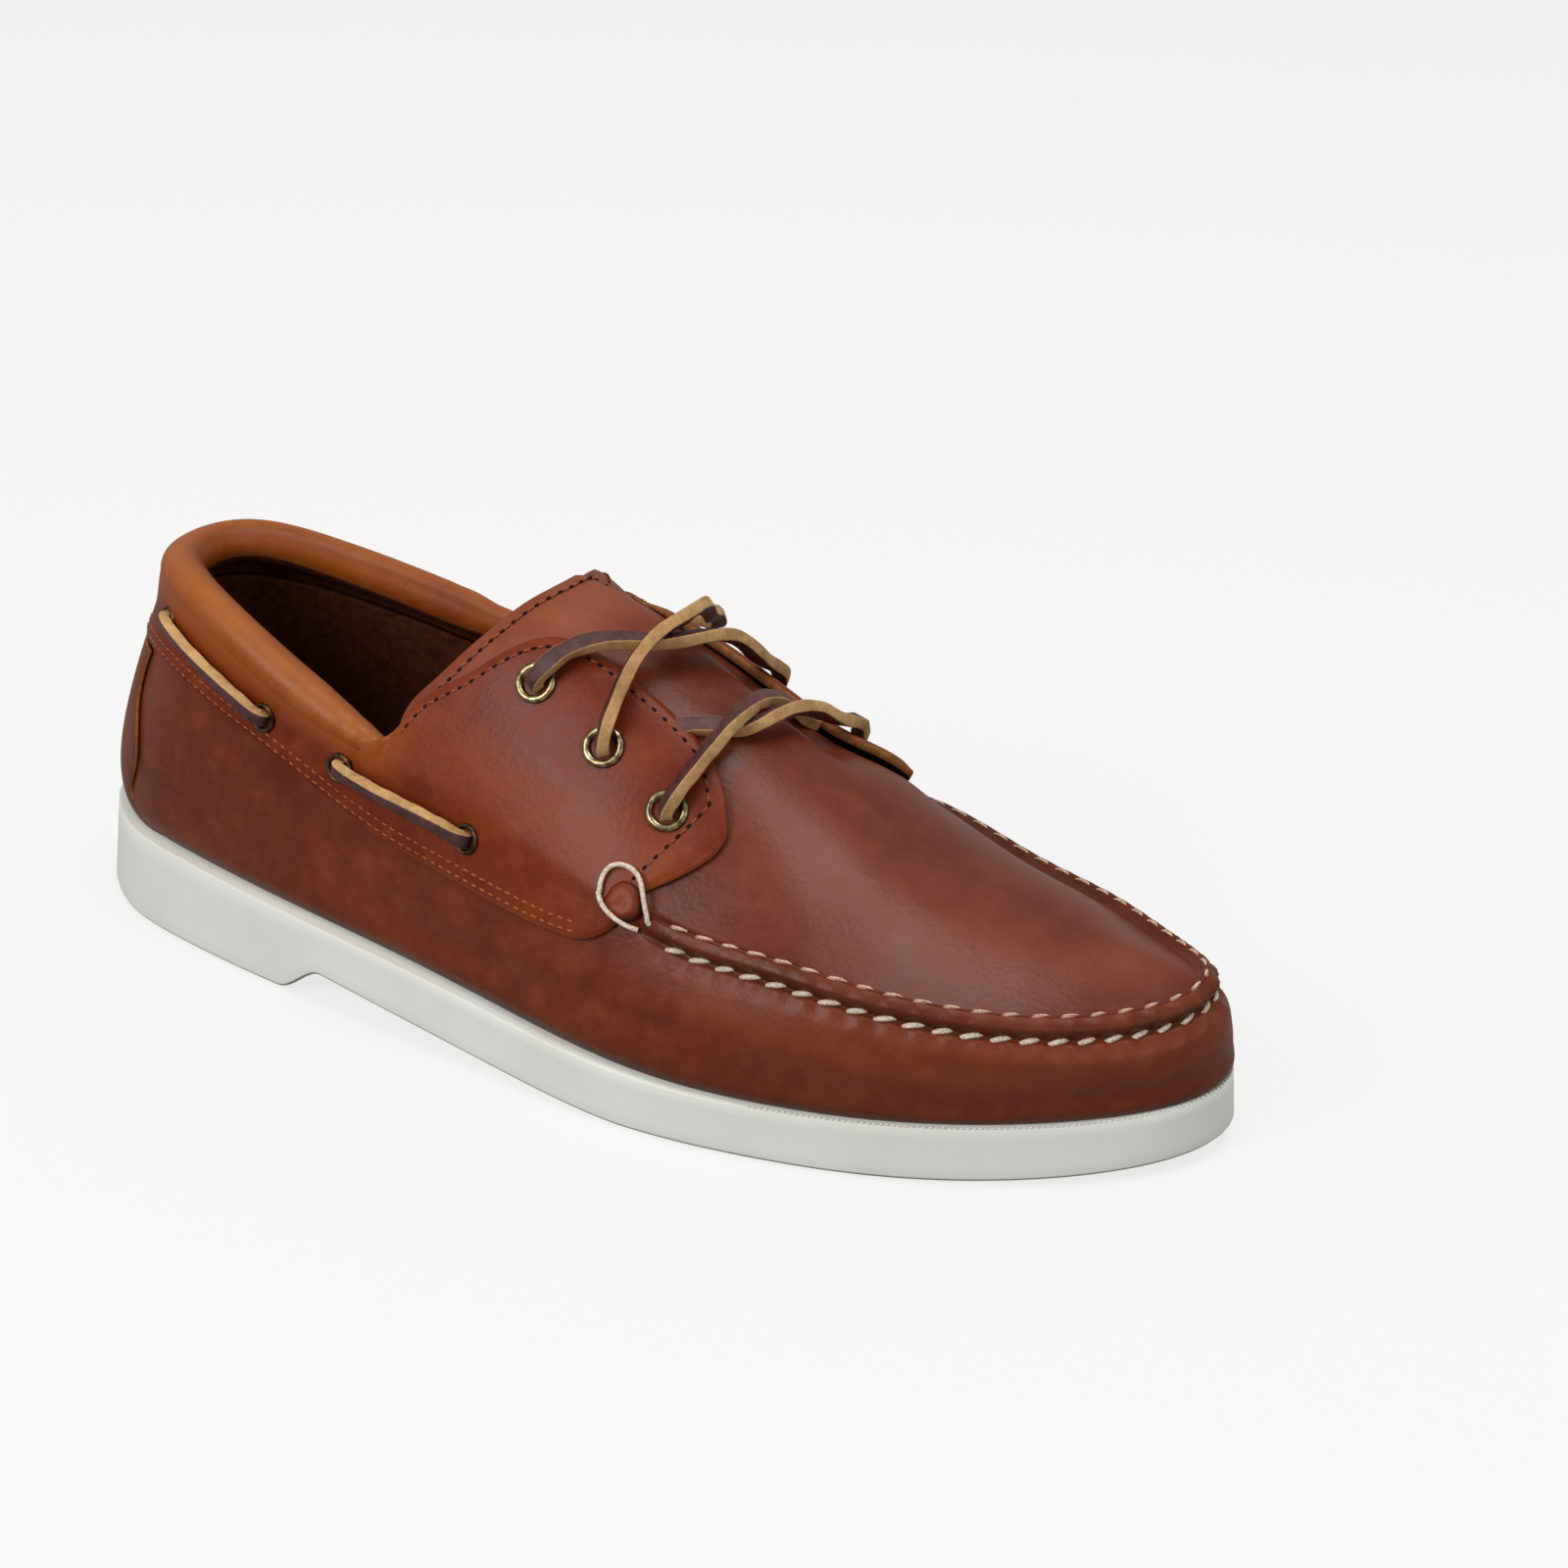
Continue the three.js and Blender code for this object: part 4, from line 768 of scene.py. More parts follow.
# puckers where the topline turns up into the flap: share, level, width, height, tilt, depth
CORNER_PUCKERS = [(.272, .93, .006, .06, .05, -.7), (.286, .97, .005, .07, .10, -.8),
                  (.299, 1.02, .005, .08, .12, -.7), (.280, .95, .005, .05, .08, .5),
                  (.293, 1.0, .005, .06, .1, .5), (.345, .80, .03, .10, .2, -.4)]


def corner_puckers(angle, level):
    """Short folds across the topline's front corners."""
    share, total = share_at(angle), 0
    for s, l, width, height, tilt, depth in CORNER_PUCKERS:
        a, b = share - s - (level - l) * tilt, level - l
        total = total + depth * np.exp(-(a / width) ** 2 - (b / height) ** 2)
    return total


even = np.linspace(-1, 1, 481)
way, rise = np.meshgrid(even - .06 * np.sin(2 * np.pi * even), np.linspace(0, 1, 56), indexing="ij")
quarter_angle, quarter_level = quarter_place(way, rise)
inside = quarter_height(quarter_angle, quarter_level)
behind = share_at(quarter_angle) < .30
roll_out = collar_radius(share_at(quarter_angle)) - COLLAR_SUNK
into_collar = np.where(behind, roll_out * smooth((quarter_level - .84) / .16), 0)
thin = -.5 * bump(rise, .02) - .4 * bump(rise - 1, .02) * ~behind - .5 * bump(np.abs(way) - 1, .008)
inner_flap = np.where(quarter_angle < 0, .9, 0)
thin = thin + inner_flap * smooth((rise - .8) / .15) * smooth((np.abs(way) - .75) / .1)
relief = corner_puckers(quarter_angle, quarter_level) + .5 * creases(quarter_angle, quarter_level)
for holes, radius in ((EYELETS, 6.5), (SIDE_HOLES, 5.0)):
    for _, side in SIDES:
        for share, level in holes:
            centre = last_point(angle_at(side, flap_share(side, share, level)), level)
            distance = np.linalg.norm(last_point(quarter_angle, quarter_level) - centre, axis=-1)
            relief = relief - .35 * bump(distance, radius)
quarter_outer = layer(quarter_angle, quarter_level, inside + OVERLAY + into_collar + thin + relief)
quarter_inner = layer(quarter_angle, quarter_level, inside)
quarter_leather = oiled_leather("oiled_quarter_leather", "#5f1e03", "#7e3008", "#9f501d", rough=.37)
shade = .35 * bump(rise - .06, .03) * behind
# glow: the collar leather's paler tone where the quarter runs up into the roll, the pale cut edge along the
# lower edge, and a painted highlight across the flaps just over the shoulder
glow = .85 * smooth((quarter_level - .86) / .12) * (1 - smooth((share_at(quarter_angle) - .27) / .07))
glow = glow + .25 * bump(quarter_level - 1.12, .12) * ~behind + .6 * bump(rise - .004, .012)
quarter = sheet("quarter_leather", quarter_outer, quarter_inner, [quarter_leather, lining, raw_edge],
                {"shade": shade, "glow": glow})
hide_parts("quarter")

# Padded collar
# A thin roll of foam under soft leather goes round the topline and tapers off into the
# flaps. The leather wraps over its top and inner side, and the lining joins it below.


def collar_point(angle, turn):
    """Roll round the shoulder line: a circle across it, tapering towards the front, with faint
    wrinkles along it."""
    out = outward(angle)
    out = np.concatenate([out, 0 * out[..., :1]], -1)
    share = share_at(angle)
    centre = shoulder(angle) - out * COLLAR_INSET
    along = unit(shoulder(angle + 1e-3) - shoulder(angle - 1e-3))
    sideways = unit(out - along * np.sum(out * along, -1, keepdims=True))
    up = np.cross(sideways, along)
    run = run_at(angle)
    wrinkle = .22 * np.sin(run * .9 + 2 * np.sin(run * .21))
    wrinkle = wrinkle * smooth((share - .16) / .12) * bump(turn - .6, 1.4)
    end = np.sqrt(np.clip(1 - ((np.abs(angle) / angle_at(1, COLLAR_END)) ** 40), 0, 1))
    size = ((collar_radius(share) + wrinkle) * end)[..., None]
    return centre + (sideways * np.cos(turn)[..., None] + up * np.sin(turn)[..., None]) * size


roll_end = float(angle_at(1, COLLAR_END))
roll_angle, roll_turn = np.meshgrid(np.linspace(-roll_end, roll_end, 321),
                                    np.linspace(0, 2 * np.pi, 40, endpoint=False), indexing="ij")
roll = collar_point(roll_angle, roll_turn)
lined = (roll_turn > math.radians(200)) & (roll_turn < math.radians(300))
collar_leather = oiled_leather("soft_collar_leather", "#80390d", "#9e521d", "#b8713a", rough=.38,
                               mottle=20)
shade = .5 * bump(roll_turn - 2 * np.pi + .6, .35) + .3 * bump(roll_turn - 2.3, .3)
# glow paints a highlight along the roll's upper outer side
collar = surface("padded_collar", [(roll, (False, True), np.where(lined[:-1].ravel(), 1, 0))],
                 [collar_leather, lining], {"shade": shade, "glow": .35 * bump(roll_turn - 1.2, .8)})

# Backstay
# A strip of leather covers the seam up the heel. Its edges are cut raw, and it flares out
# towards the sole.

BACKSTAY_WALL = 1.2                          # mm
# level, share out to the strip's edge
BACKSTAY = np.array([
    (.02, .100), (.08, .085), (.14, .062), (.30, .055), (.45, .050), (.60, .032), (.735, .030),
])
backstay_half = smooth_curve(BACKSTAY[:, 0], angle_at(1, BACKSTAY[:, 1]))
back_across, back_level = np.meshgrid(np.linspace(-1, 1, 61),
                                      np.linspace(BACKSTAY[0, 0], BACKSTAY[-1, 0], 61), indexing="ij")
back_angle = back_across * backstay_half(back_level)
ridge_line = .5 * bump(back_across, .12) - .35 * bump(np.abs(back_across) - 1, .06)
backstay_leather = oiled_leather("oiled_backstay_leather", "#5e280f", "#7b3c1e", "#945332")
backstay = sheet("backstay_leather", layer(back_angle, back_level, GAP + BACKSTAY_WALL + ridge_line),
                 layer(back_angle, back_level, GAP + 0 * back_level), [backstay_leather, lining, raw_edge],
                 {"shade": .4 * bump(back_level, .12), "glow": 0 * back_level})
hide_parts("backstay")

# Eyelets
# Turned brass eyelets with an antique finish hold the flaps' lace, and small dark ones
# line the holes of the side lace.

EYELET_BORE, EYELET_BARREL, EYELET_FLANGE, EYELET_THICKNESS = 2.9, .5, 1.3, .6      # mm
SIDE_BORE, SIDE_BARREL, SIDE_FLANGE, SIDE_THICKNESS = 2.35, .4, .75, .6
FLAP_TOP = GAP + OVERLAY
EYELET_BASE = FLAP_TOP + GAP


def plated_metal(name, bright, tarnish, rough):
    """Plated metal, rolled smooth and left to tarnish: brighter where it is rubbed."""
    material, tree, shader, place = new_material(name)
    patina = add(tree, "ShaderNodeTexNoise", {"Vector": place, "Scale": per(1.6), "Detail": 3.0})
    dress(tree, shader, patina, (.4, .65), (bright, tarnish), patina, .1, .2)
    shader.inputs["Metallic"].default_value = 1.0
    shader.inputs["Roughness"].default_value = rough
    return material


def eyelet(name, side, share, level, bore, barrel, flange, thickness, metal):
    """Ring turned round its axis: a tube in the leather and a flange with a round top. A dark disc
    of lining across the bore paints the hole's shadow.
    """
    centre, normal = flap_frame(angle_at(side, flap_share(side, share, level)), np.array(float(level)))
    arc = np.linspace(0, np.pi, 13)
    outer = bore + barrel + flange
    middle, spread = (bore + outer) / 2, (outer - bore) / 2
    profile = np.vstack([
        [[bore, GAP + .3], [bore + .25, GAP + .3], [bore + .25, EYELET_BASE - .5],
         [outer, EYELET_BASE - .5]],
        np.column_stack([middle + spread * np.cos(arc),
                         EYELET_BASE - .2 + (thickness + .15) * np.sin(arc)]),
    ])
    turn = np.linspace(0, 2 * np.pi, 48, endpoint=False)
    first = unit(np.cross(normal, [.3, .1, 1.0]))
    second = np.cross(normal, first)
    ring_out = np.cos(turn)[:, None] * first + np.sin(turn)[:, None] * second
    grid = centre + ring_out[:, None, :] * profile[None, :, :1] + normal * profile[None, :, 1:]
    # painted shadow: a dark disc across the bore in place of a hole
    radii = np.linspace(0, bore + .1, 4)
    floor = centre + ring_out[:, None, :] * radii[None, ::-1, None] + normal * (GAP + .45)
    return surface(name, [(grid, (True, True), 0), (floor, (True, False), 1)], [metal, lining])


antique_brass = plated_metal("antique_brass", "#b5a47c", "#5a4a30", .28)
dark_brass = plated_metal("dark_lacquered_brass", "#6a5638", "#32281b", .38)
for label, side in SIDES:
    for number, (share, level) in enumerate(EYELETS, 1):
        piece = eyelet(f"brass_eyelet_{label}_{number}", side, share, level, EYELET_BORE, EYELET_BARREL,
                       EYELET_FLANGE, EYELET_THICKNESS, antique_brass)
        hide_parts(f"eyelet_{label}_{number}")
    for number, (share, level) in enumerate(SIDE_HOLES, 1):
        piece = eyelet(f"side_ring_{label}_{number}", side, share, level, SIDE_BORE, SIDE_BARREL,
                       SIDE_FLANGE, SIDE_THICKNESS, dark_brass)
        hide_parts(f"side_eyelet_{label}_{number}")

# Rawhide lace
# A thong cut square from thick hide: its grain face is stained dark, its cut faces are
# tan. It runs through the side holes and crosses twice over the tongue.

LACE_WIDTH, LACE_THICKNESS, LACE_EDGE = 3.8, 2.8, .42    # mm, the last is the round of its edges


def thong(name, stops, sides, twist, steps, materials, size=1.0):
    """Square-cut thong: a rounded rectangle carried along a smooth path through the stops,
    kept flat to the shoe and turned by the twist in degrees at each stop."""
    stops, sides = np.array(stops), unit(np.array(sides))
    run = np.append(0, np.cumsum(np.sqrt(np.linalg.norm(np.diff(stops, axis=0), axis=1))))
    path = [smooth_curve(run, stops[:, k]) for k in range(3)]
    lean = [smooth_curve(run, sides[:, k]) for k in range(3)]
    t = np.linspace(0, run[-1], steps)
    centre = np.stack([p(t) for p in path], -1)
    along = unit(np.gradient(centre, axis=0))
    across = np.stack([p(t) for p in lean], -1)
    across = unit(across - along * np.sum(across * along, -1, keepdims=True))
    up = np.cross(across, along)
    turn = np.radians(np.interp(t, run, twist))[:, None]
    across, up = (across * np.cos(turn) + up * np.sin(turn),
                  up * np.cos(turn) - across * np.sin(turn))
    w, h, r = LACE_WIDTH / 2 * size, LACE_THICKNESS / 2 * size, LACE_EDGE
    corner = [(w - r, h - r, 0), (r - w, h - r, 90), (r - w, r - h, 180), (w - r, r - h, 270)]
    outline = np.array([(x + r * math.cos(math.radians(a + b)), y + r * math.sin(math.radians(a + b)))
                        for x, y, a in corner for b in (0, 30, 60, 90)])
    wobble = 1 + .05 * np.sin(np.arange(steps) * .37)[:, None, None] * np.array([1, .6])
    flat = outline[None] * wobble
    grid = centre[:, None] + flat[..., :1] * across[:, None] + flat[..., 1:] * up[:, None]
    tips = [np.repeat(grid[[i]].mean(1, keepdims=True), 16, 1) for i in (0, -1)]
    grid = np.concatenate([tips[0], grid, tips[1]])
    face = np.where(np.isin(np.arange(16), (2, 3, 4, 10, 11, 12)), 0, 1)
    numbers = np.broadcast_to(face, (steps + 1, 16)).copy()
    numbers[[0, -1]] = 1
    return surface(name, [(grid, (False, True), numbers.ravel())], materials)


def rawhide(name, deep, mid, rough):
    """Cut and stained hide: streaks along the fibres and a dry, slightly fuzzy surface."""
    material, tree, shader, place = new_material(name)
    fibre = add(tree, "ShaderNodeTexNoise", {"Vector": place, "Scale": per(1.8), "Detail": 6.0,
                                             "Roughness": .7})
    patch = add(tree, "ShaderNodeTexNoise", {"Vector": place, "Scale": per(9), "Detail": 3.0})
    total = add(tree, "ShaderNodeMath", {0: fibre.outputs[0], 1: patch.outputs[0]}, operation="ADD")
    dress(tree, shader, total, (.8, 1.25), (deep, mid), fibre, .5, .4)
    shader.inputs["Roughness"].default_value = rough
    return material


lace_face = rawhide("stained_rawhide_face", "#3d1c17", "#653632", .5)
lace_cut = rawhide("tan_rawhide_cut", "#a67c49", "#d4a870", .75)
DIVE_STEP = 1.2                              # mm


def side_vectors(stops, outs):
    """Direction across the thong at each stop: along the path and straight out, crossed.
    Where the path goes almost straight out, it is the neighbouring stop's."""
    stops = np.array(stops)
    along = np.gradient(stops, axis=0)
    flat = along - outs * np.sum(along * outs, -1, keepdims=True)
    size = np.linalg.norm(flat, axis=-1)
    for i in range(1, len(flat)):
        if size[i] < DIVE_STEP:
            flat[i] = flat[i - 1]
    for i in range(len(flat) - 2, -1, -1):
        if size[i] < DIVE_STEP:
            flat[i] = flat[i + 1]
    return np.cross(flat, outs)


def dive(side, number):
    """Stops of the thong at an eyelet, from the bore outwards, with the way out there."""
    share, level = EYELETS[number - 1]
    centre, normal = flap_frame(angle_at(side, flap_share(side, share, level)), np.array(float(level)))
    top = EYELET_BASE + EYELET_THICKNESS
    return [centre + normal * h for h in (GAP + .4, top + GAP)], normal, centre, top


def crossing(name, rows, start=None, end=None, steps=160):
    """Thong over the tongue. Each row is side, share, level, layer in lace thicknesses over
    the flaps, and twist; eyelet ends dive into their bores."""
    rows = np.array(rows, float)
    angle = angle_at(rows[:, 0], rows[:, 1])
    lift = np.where(rows[:, 3] < 0, 0, flap_lift(angle, rows[:, 2]))
    height = FLAP_TOP + GAP + LACE_THICKNESS * (.5 + rows[:, 3]) + lift
    stops = list(layer(angle, rows[:, 2], height))
    outs, twist = list(last_normal(angle, rows[:, 2])), list(rows[:, 4])
    for place, at_start in ((start, True), (end, False)):
        if place is None:
            continue
        bore, normal, centre, top = dive(*place)
        near = stops[0] if at_start else stops[-1]
        way = near - centre - normal * np.dot(near - centre, normal)
        lip = centre + normal * (top + LACE_THICKNESS / 2 + 2 * GAP)
        new = bore + [lip + unit(way) * (EYELET_BORE + EYELET_FLANGE)]
        turn = [twist[0] if at_start else twist[-1]] * 3
        if at_start:
            stops, outs, twist = new + stops, [normal] * 3 + outs, turn + twist
        else:
            stops, outs, twist = stops + new[::-1], outs + [normal] * 3, twist + turn
    outs = np.array(outs)
    return thong(name, stops, side_vectors(stops, outs), twist, steps, [lace_face, lace_cut])


top_under = crossing("lace_top_under", [
    (1, .452, 1.59, .6, 0), (1, .477, 1.69, .9, 10), (1, .503, 1.77, 1.1, 20), (1, .524, 1.885, 1.1, 30),
    (-1, .541, 1.96, 1.0, 40), (-1, .550, 1.82, .9, 40), (-1, .549, 1.62, .5, 20),
], (1, 1), (-1, 2))
top_over = crossing("lace_top_over", [
    (1, .504, 1.505, .6, 60), (1, .505, 1.65, 1.6, 70), (1, .509, 1.80, 2.15, 72), (1, .514, 1.925, 2.1, 72),
    (-1, .511, 1.965, 1.7, 70), (-1, .505, 1.87, 1.6, 66), (-1, .500, 1.75, 1.3, 60),
    (-1, .492, 1.62, .7, 40),
], (1, 2), (-1, 1))
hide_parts("lace_crossing_top")
low_over = crossing("lace_low_over", [
    (1, .580, 1.51, .6, 50), (1, .587, 1.70, .5, 50), (1, .589, 1.78, .4, 40), (1, .591, 1.90, .1, 20),
    (-1, .598, 1.95, -.3, 0), (-1, .604, 1.80, -.6, 0), (-1, .606, 1.70, -.74, 0),
], (1, 3), None)
low_under = crossing("lace_low_under", [
    (1, .549, 1.60, -1.15, 0), (1, .562, 1.665, -.95, 0), (1, .579, 1.73, -.6, 0),
    (1, .595, 1.80, -.4, 20), (1, .606, 1.88, .1, 50), (1, .612, 1.95, .5, 60),
    (-1, .620, 1.93, .6, 50), (-1, .630, 1.80, .6, 30), (-1, .630, 1.60, .8, 0),
], None, (-1, 3))
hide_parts("lace_crossing_bottom")

SIDE_LACE_SIZE = .9                          # share of the lace over the tongue
SIDE_LACE_TWIST = np.array([0, 10, 28, 34, 28, 20, 5, 0])
side_run = EYELET_BASE + SIDE_THICKNESS + .8
side_neck = EYELET_BASE + SIDE_THICKNESS + GAP
side_shares = np.array([0, 0, .1, .35, .65, .9, 1, 1])
side_heights = np.array([GAP + .4, side_neck, side_run, side_run, side_run, side_run, side_neck, GAP + .4])
for label, side in SIDES:
    for part, first, last in (("back", 0, 1), ("front", 2, 3)):
        ends = [(float(angle_at(side, flap_share(side, s, l))), l) for s, l in SIDE_HOLES[[first, last]]]
        angle = ends[0][0] + (ends[1][0] - ends[0][0]) * side_shares
        level = ends[0][1] + (ends[1][1] - ends[0][1]) * side_shares
        stops, outs = layer(angle, level, side_heights), last_normal(angle, level)
        piece = thong(f"side_thong_{label}_{part}", stops, side_vectors(stops, outs),
                      -side * SIDE_LACE_TWIST, 120, [lace_face, lace_cut], SIDE_LACE_SIZE)
        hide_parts(f"side_lace_{label}_{part}")

# Insole
# A leather-covered footbed lies loose in the shoe, with a soft edge.

INSOLE_WALL, INSOLE_ROOM = 3.0, 1.2          # mm
insole_angle = np.linspace(0, 2 * np.pi, 240, endpoint=False)
edge, out = sole_edge(insole_angle), outward(insole_angle)
grid = []
for inset, up in ((0, 0), (-.05, 1.2), (0, 2.2), (.5, 2.8), (1.4, INSOLE_WALL)):
    point = edge - out * (foot_inset(insole_angle) + UPPER_WALL + INSOLE_ROOM + inset)[:, None]
    grid.append(np.column_stack([point, seat_height(point[:, 0]) + GAP + up]))
insole_leather = suede("pigskin_footbed", "#3a1a0c", "#5c2f18")
insole = capped_ring("leather_insole", np.array(grid).transpose(1, 0, 2), [insole_leather])
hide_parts("insole")

# Stitches and thread
# Waxed orange thread sews the edges of the quarter and the tongue's free end. Thick cream
# thread sews the moccasin seam in two rows and is tied off in a loop at each flap's corner.


def spun_thread(name, pale, dark, twist=.55):
    """Waxed thread, spun from plies: fine bands across it and a slight sheen."""
    material, tree, shader, place = new_material(name)
    plies = add(tree, "ShaderNodeTexNoise", {"Vector": place, "Scale": per(twist), "Detail": 2.0})
    dress(tree, shader, plies, (.35, .65), (dark, pale), plies, .5, .3)
    shader.inputs["Roughness"].default_value = .65
    return material


def stitch_row(name, points, normals, pitch, length, width, thread, sink=.45, lean=0.0, start=.5):
    """Row of stitches: each is a small pill along the path, its ends drawn into the leather
    by the sink in mm, and turned a little by the lean."""
    steps = np.linalg.norm(np.diff(points, axis=0), axis=1)
    run = np.append(0, np.cumsum(steps))
    count = int((run[-1] - start * pitch) // pitch)
    middle = (start + np.arange(count)) * pitch
    pick = lambda at, values: np.stack([np.interp(at, run, values[:, k]) for k in range(3)], -1)
    wobble = 1 + .06 * np.sin(np.arange(count) * 2.4)
    half = length / 2 * wobble
    first, last = pick(middle - half, points), pick(middle + half, points)
    normal = unit(pick(middle, normals))
    along = unit(last - first)
    side = unit(np.cross(normal, along))
    normal = np.cross(along, side)
    along = unit(along + side * lean)
    f = np.array([-1, -.86, -.45, 0, .45, .86, 1])
    thick = np.array([0, .62, .95, 1, .95, .62, 0]) * width / 2
    turn = np.linspace(0, 2 * np.pi, 6, endpoint=False)
    centre = (pick(middle, points)[:, None] + along[:, None] * (f[None, :, None] * half[:, None, None])
              - normal[:, None] * (sink * np.abs(f) ** 3)[None, :, None])
    rim = (side[:, None, None] * np.cos(turn)[None, None, :, None]
           + normal[:, None, None] * np.sin(turn)[None, None, :, None] * .8)
    grid = centre[:, :, None] + rim * thick[None, :, None, None]
    index = np.arange(f.size * turn.size).reshape(f.size, turn.size)
    quads = grid_quads(np.hstack([index, index[:, :1]]))[:, [0, 3, 2, 1]]
    faces = quads[None] + (np.arange(count) * index.size)[:, None, None]
    return mesh_piece(name, grid.reshape(-1, 3), faces.reshape(-1, 4), [thread])


def sewn(name, points, normals, pitch, length, width, thread, slot, start=.5):
    """Row of stitches with a dark pill between each two: the painted shadow of a needle hole."""
    stitch_row(name, points, normals, pitch, length, width, thread, start=start)
    holes = stitch_row(name + "_holes", points - normals * .05, normals, pitch, pitch - length + .35,
                       width * 1.25, needle_hole, sink=.1, start=start + .5)


def on_quarter(way, rise, height):
    """Points and normals at a height over the quarter's face."""
    angle, level = quarter_place(np.asarray(way, float), np.asarray(rise, float))
    return layer(angle, level, quarter_height(angle, level) + OVERLAY + height), last_normal(angle, level)


def rise_of(way, distance, upper):
    """Rise that lies this many mm inside the upper or the lower edge at a way."""
    edge = np.full(np.shape(way), 1.0 if upper else 0.0)
    near = edge - .04 if upper else edge + .04
    gap = np.linalg.norm(on_quarter(way, near, 0)[0] - on_quarter(way, edge, 0)[0], axis=-1)
    return edge + (near - edge) * distance / gap


orange_thread = spun_thread("orange_waxed_thread", "#a4541f", "#713310", .4)
edge_thread = spun_thread("orange_edge_thread", "#b9652c", "#7f3a14", .4)
cream_thread = spun_thread("cream_waxed_thread", "#f0e4d2", "#c4a98b")
pink_thread = spun_thread("stained_cream_thread", "#e6c8b0", "#b58a6e")
# painted shadow of the needle holes between stitches
needle_hole = suede("needle_hole_shadow", "#1a0a04", "#2c1208")
TOP_STITCH, EDGE_STITCH = (3.2, 2.2, .62), (2.5, 1.9, .6)     # mm, pitch, length and width
SOLE_NOTCH = (1.3, .75, .6)
EDGE_INSETS, FLAP_INSET, TONGUE_INSET = (1.7, 3.9), 2.6, 3.2   # mm from the leather's edge to a row

for number, distance in enumerate(EDGE_INSETS, 1):
    way = np.linspace(-.955, .955, 1600)
    points, normals = on_quarter(way, rise_of(way, distance, False), .08)
    row = stitch_row(f"quarter_edge_stitches_{number}", points, normals, *EDGE_STITCH, edge_thread,
                     start=.3)
for label, side in SIDES:
    top_way = np.linspace(.60, .945, 500)
    top_rise = rise_of(side * top_way, FLAP_INSET, True)
    front_rise = np.linspace(.90, .10, 200)
    way = side * np.concatenate([top_way, np.full(200, .968)])
    points, normals = on_quarter(way, np.concatenate([top_rise, front_rise]), .05)
    sewn(f"flap_stitches_{label}", points, normals, *TOP_STITCH, orange_thread, "quarter_leather")

across = np.linspace(-.93, .93, 600)
base = layer(*tongue_place(0 * across, across), 0 * across)
near = layer(*tongue_place(0 * across + .04, across), 0 * across)
angle, level = tongue_place(.04 * TONGUE_INSET / np.linalg.norm(near - base, axis=-1), across)
sewn("tongue_stitches_1", layer(angle, level, 0 * level + .1), last_normal(angle, level), *TOP_STITCH,
     orange_thread, "tongue_leather")

seam_angle = np.linspace(float(angle_at(1, .579)), 2 * np.pi - float(angle_at(1, .64)), 3000)
seam_run = run_at(seam_angle)
seam_angle = np.where(seam_angle > np.pi, seam_angle - 2 * np.pi, seam_angle)
phase = (seam_run[0] / STITCH_PITCH) % 1
# distance over the seam, height, length, width and sink in mm, lean
for name, distance, height, length, width, sink, lean, thread in (
        ("seam_stitches_lower", -3.2, .75, 5.2, 1.35, .9, .26, cream_thread),
        ("seam_stitches_upper", 1.2, .35, 4.6, .95, .55, .1, pink_thread)):
    level = level_near(seam_angle, distance)
    points = layer(seam_angle, level, seam_relief(seam_angle, distance) + height)
    row = stitch_row(name, points, last_normal(seam_angle, level), STITCH_PITCH, length, width, thread,
                     sink=sink, lean=lean, start=1.5 - phase)

# fine notches along the sole's top edge round the forepart
welt_angle = np.linspace(float(angle_at(1, .70)), 2 * np.pi - float(angle_at(1, .70)), 1500)
welt = sole_edge(welt_angle) - outward(welt_angle) * (sole_lean(welt_angle) + .25)[:, None]
welt = np.column_stack([welt, seat_height(welt[:, 0]) + .1])
row = stitch_row("sole_edge_notches", welt, np.tile([0, 0, 1.0], (welt_angle.size, 1)), *SOLE_NOTCH,
                 rubber, sink=0)

# share, level and height in mm along the thread, from its lower end round to its upper one
LOOP = np.array([
    (.575, .925, .6), (.564, .920, 2.0), (.549, .938, 2.8), (.539, .985, 3.0), (.537, 1.04, 3.0),
    (.544, 1.085, 3.4), (.557, 1.105, 3.7), (.568, 1.09, 3.6), (.576, 1.04, 3.0), (.584, .985, 1.0),
])
LOOP_RADIUS = .55                            # mm
run = np.arange(len(LOOP))
loop_way = [smooth_curve(run, LOOP[:, k]) for k in range(3)]
for label, side in SIDES:
    share, level, height = (way(np.linspace(0, run[-1], 110)) for way in loop_way)
    angle = angle_at(side, flap_share(side, share, level))
    centre, normal = layer(angle, level, height), last_normal(angle, level)
    along = unit(np.gradient(centre, axis=0))
    aside = unit(np.cross(along, normal))
    turn = np.linspace(0, 2 * np.pi, 10, endpoint=False)
    rim = (aside[:, None] * np.cos(turn)[None, :, None]
           + np.cross(aside, along)[:, None] * np.sin(turn)[None, :, None])
    grid = centre[:, None] + LOOP_RADIUS * rim
    loop_piece = surface(f"thread_loop_{label}", [(grid, (False, True), 0)], [cream_thread])
    turn, size = np.meshgrid(np.linspace(0, 2 * np.pi, 32, endpoint=False), np.linspace(1, 0, 12),
                             indexing="ij")
    share = .558 + (.0155 * np.cos(turn) + .006 * np.sin(turn)) * size
    level = 1.0 + (.075 * np.sin(turn) - .01 * np.cos(turn)) * size
    angle = angle_at(side, flap_share(side, share, level))
    puff = layer(angle, level, 1.2 + 1.9 * np.sqrt(1 - size ** 3) - .5 * bump(size, .35))
    # glow paints a highlight on the tab's puff
    tab = surface(f"flap_tab_{label}", [(puff, (True, False), 0)], [quarter_leather],
                  {"shade": .8 * smooth((size - .7) / .3), "glow": .3 * bump(size - .3, .3)})

# Floor, light and camera
# A pale studio floor runs out of sight under a white dome. A softbox hangs overhead, a
# larger one stands at the outer side, a weak one at the toe. The camera is the photo's.

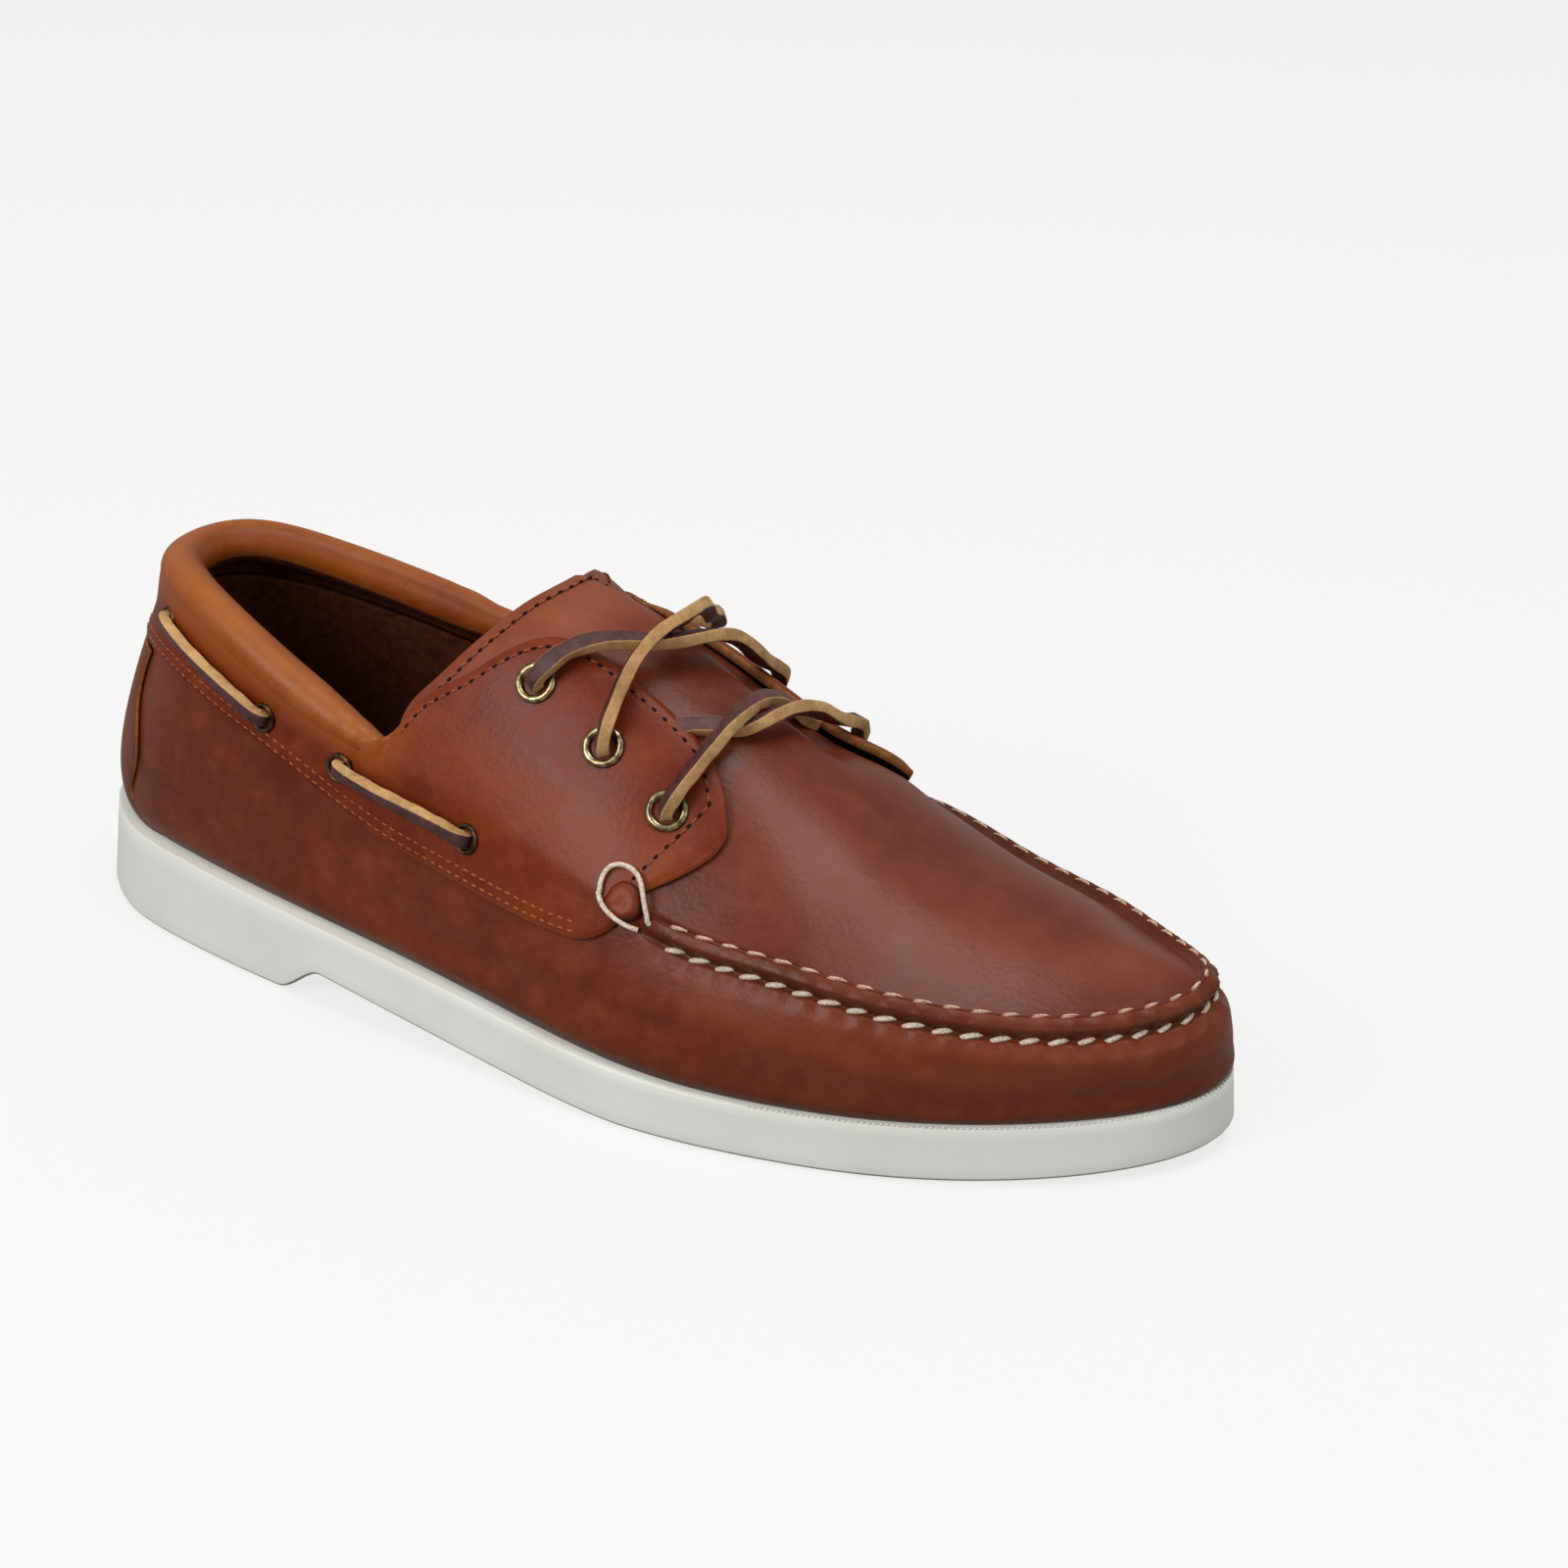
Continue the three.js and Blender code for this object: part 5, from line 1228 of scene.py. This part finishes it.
floor_mesh = bpy.data.meshes.new("studio_floor")
FLOOR_REACH = 40                             # metres
floor_corners = [(x * FLOOR_REACH, y * FLOOR_REACH, 0) for x, y in ((-1, -1), (1, -1), (1, 1), (-1, 1))]
floor_mesh.from_pydata(floor_corners, [], [(0, 1, 2, 3)])
floor_material, tree, shader, place = new_material("matt_white_floor")
shader.inputs["Base Color"].default_value = (.17, .17, .17, 1)
shader.inputs["Roughness"].default_value = .9
shader.inputs["Specular IOR Level"].default_value = .1
shader.inputs["Emission Color"].default_value = (1, .985, .975, 1)
shader.inputs["Emission Strength"].default_value = .77
floor_mesh.materials.append(floor_material)
floor_piece = bpy.data.objects.new("studio_floor", floor_mesh)
floor_piece.location = (0, 0, -.0002)
bpy.context.scene.collection.objects.link(floor_piece)
floor_piece.visible_diffuse = floor_piece.visible_glossy = False

world = bpy.data.worlds.new("white_dome")
world.use_nodes = True
tree = world.node_tree
direction = add(tree, "ShaderNodeTexCoord").outputs["Generated"]
height = add(tree, "ShaderNodeSeparateXYZ", {0: direction}).outputs[2]
dome = add(tree, "ShaderNodeMapRange", {0: height, 1: -.1, 2: .9, 3: .32, 4: .5})
tree.links.new(dome.outputs[0], tree.nodes["Background"].inputs[1])
tree.nodes["Background"].inputs[0].default_value = (1, .99, .985, 1)
bpy.context.scene.world = world

TARGET = np.array([.147, 0, .035]) + SHIFT   # metres, the middle of the shoe


def bearing(azimuth, elevation):
    """Unit direction away from the shoe, from degrees round it and up."""
    a, e = math.radians(azimuth), math.radians(elevation)
    return Vector((math.sin(a) * math.cos(e), -math.cos(a) * math.cos(e), math.sin(e)))


def soft_light(name, azimuth, elevation, distance, size, watts):
    """Square area light at a bearing round the shoe, facing it."""
    data = bpy.data.lights.new(name, "AREA")
    data.shape, data.size, data.energy = "SQUARE", size, watts
    away = bearing(azimuth, elevation)
    light = bpy.data.objects.new(name, data)
    light.location = Vector(TARGET) + away * distance
    light.rotation_euler = away.to_track_quat("Z", "Y").to_euler()
    bpy.context.scene.collection.objects.link(light)


soft_light("overhead_softbox", 90, 77, 1.5, .6, 7)
soft_light("toe_fill", 75, 22, 2.0, 1.0, 4)
soft_light("front_softbox", -22, 34, 1.8, .8, 14.5)

CAMERA_AZIMUTH, CAMERA_ELEVATION, CAMERA_ROLL = 29.6248, 25.4098, -.191       # degrees
CAMERA_DISTANCE, CAMERA_LENS, CAMERA_PAN, CAMERA_TILT = .6651757, 66.116, 3.1211, 1.324
back = bearing(CAMERA_AZIMUTH, CAMERA_ELEVATION)
right = (-back).cross(Vector((0, 0, 1))).normalized()


def turned(first, second, degrees):
    """Two crossed directions, the first turned towards the second."""
    turn = math.radians(degrees)
    return (first * math.cos(turn) + second * math.sin(turn),
            second * math.cos(turn) - first * math.sin(turn))


up = right.cross(-back)
forward, right = turned(-back, right, CAMERA_PAN)
forward, up = turned(forward, up, CAMERA_TILT)
right, up = turned(right, up, CAMERA_ROLL)
lens = bpy.data.cameras.new("photo_camera")
lens.lens, lens.sensor_width, lens.sensor_height = CAMERA_LENS, 36, 36
camera = bpy.data.objects.new("photo_camera", lens)
turned_axes = Matrix((right, up, -forward)).transposed().to_4x4()
camera.matrix_world = Matrix.Translation(Vector(TARGET) + back * CAMERA_DISTANCE) @ turned_axes
bpy.context.scene.collection.objects.link(camera)
bpy.context.scene.camera = camera
bpy.context.scene.view_settings.view_transform = "Standard"
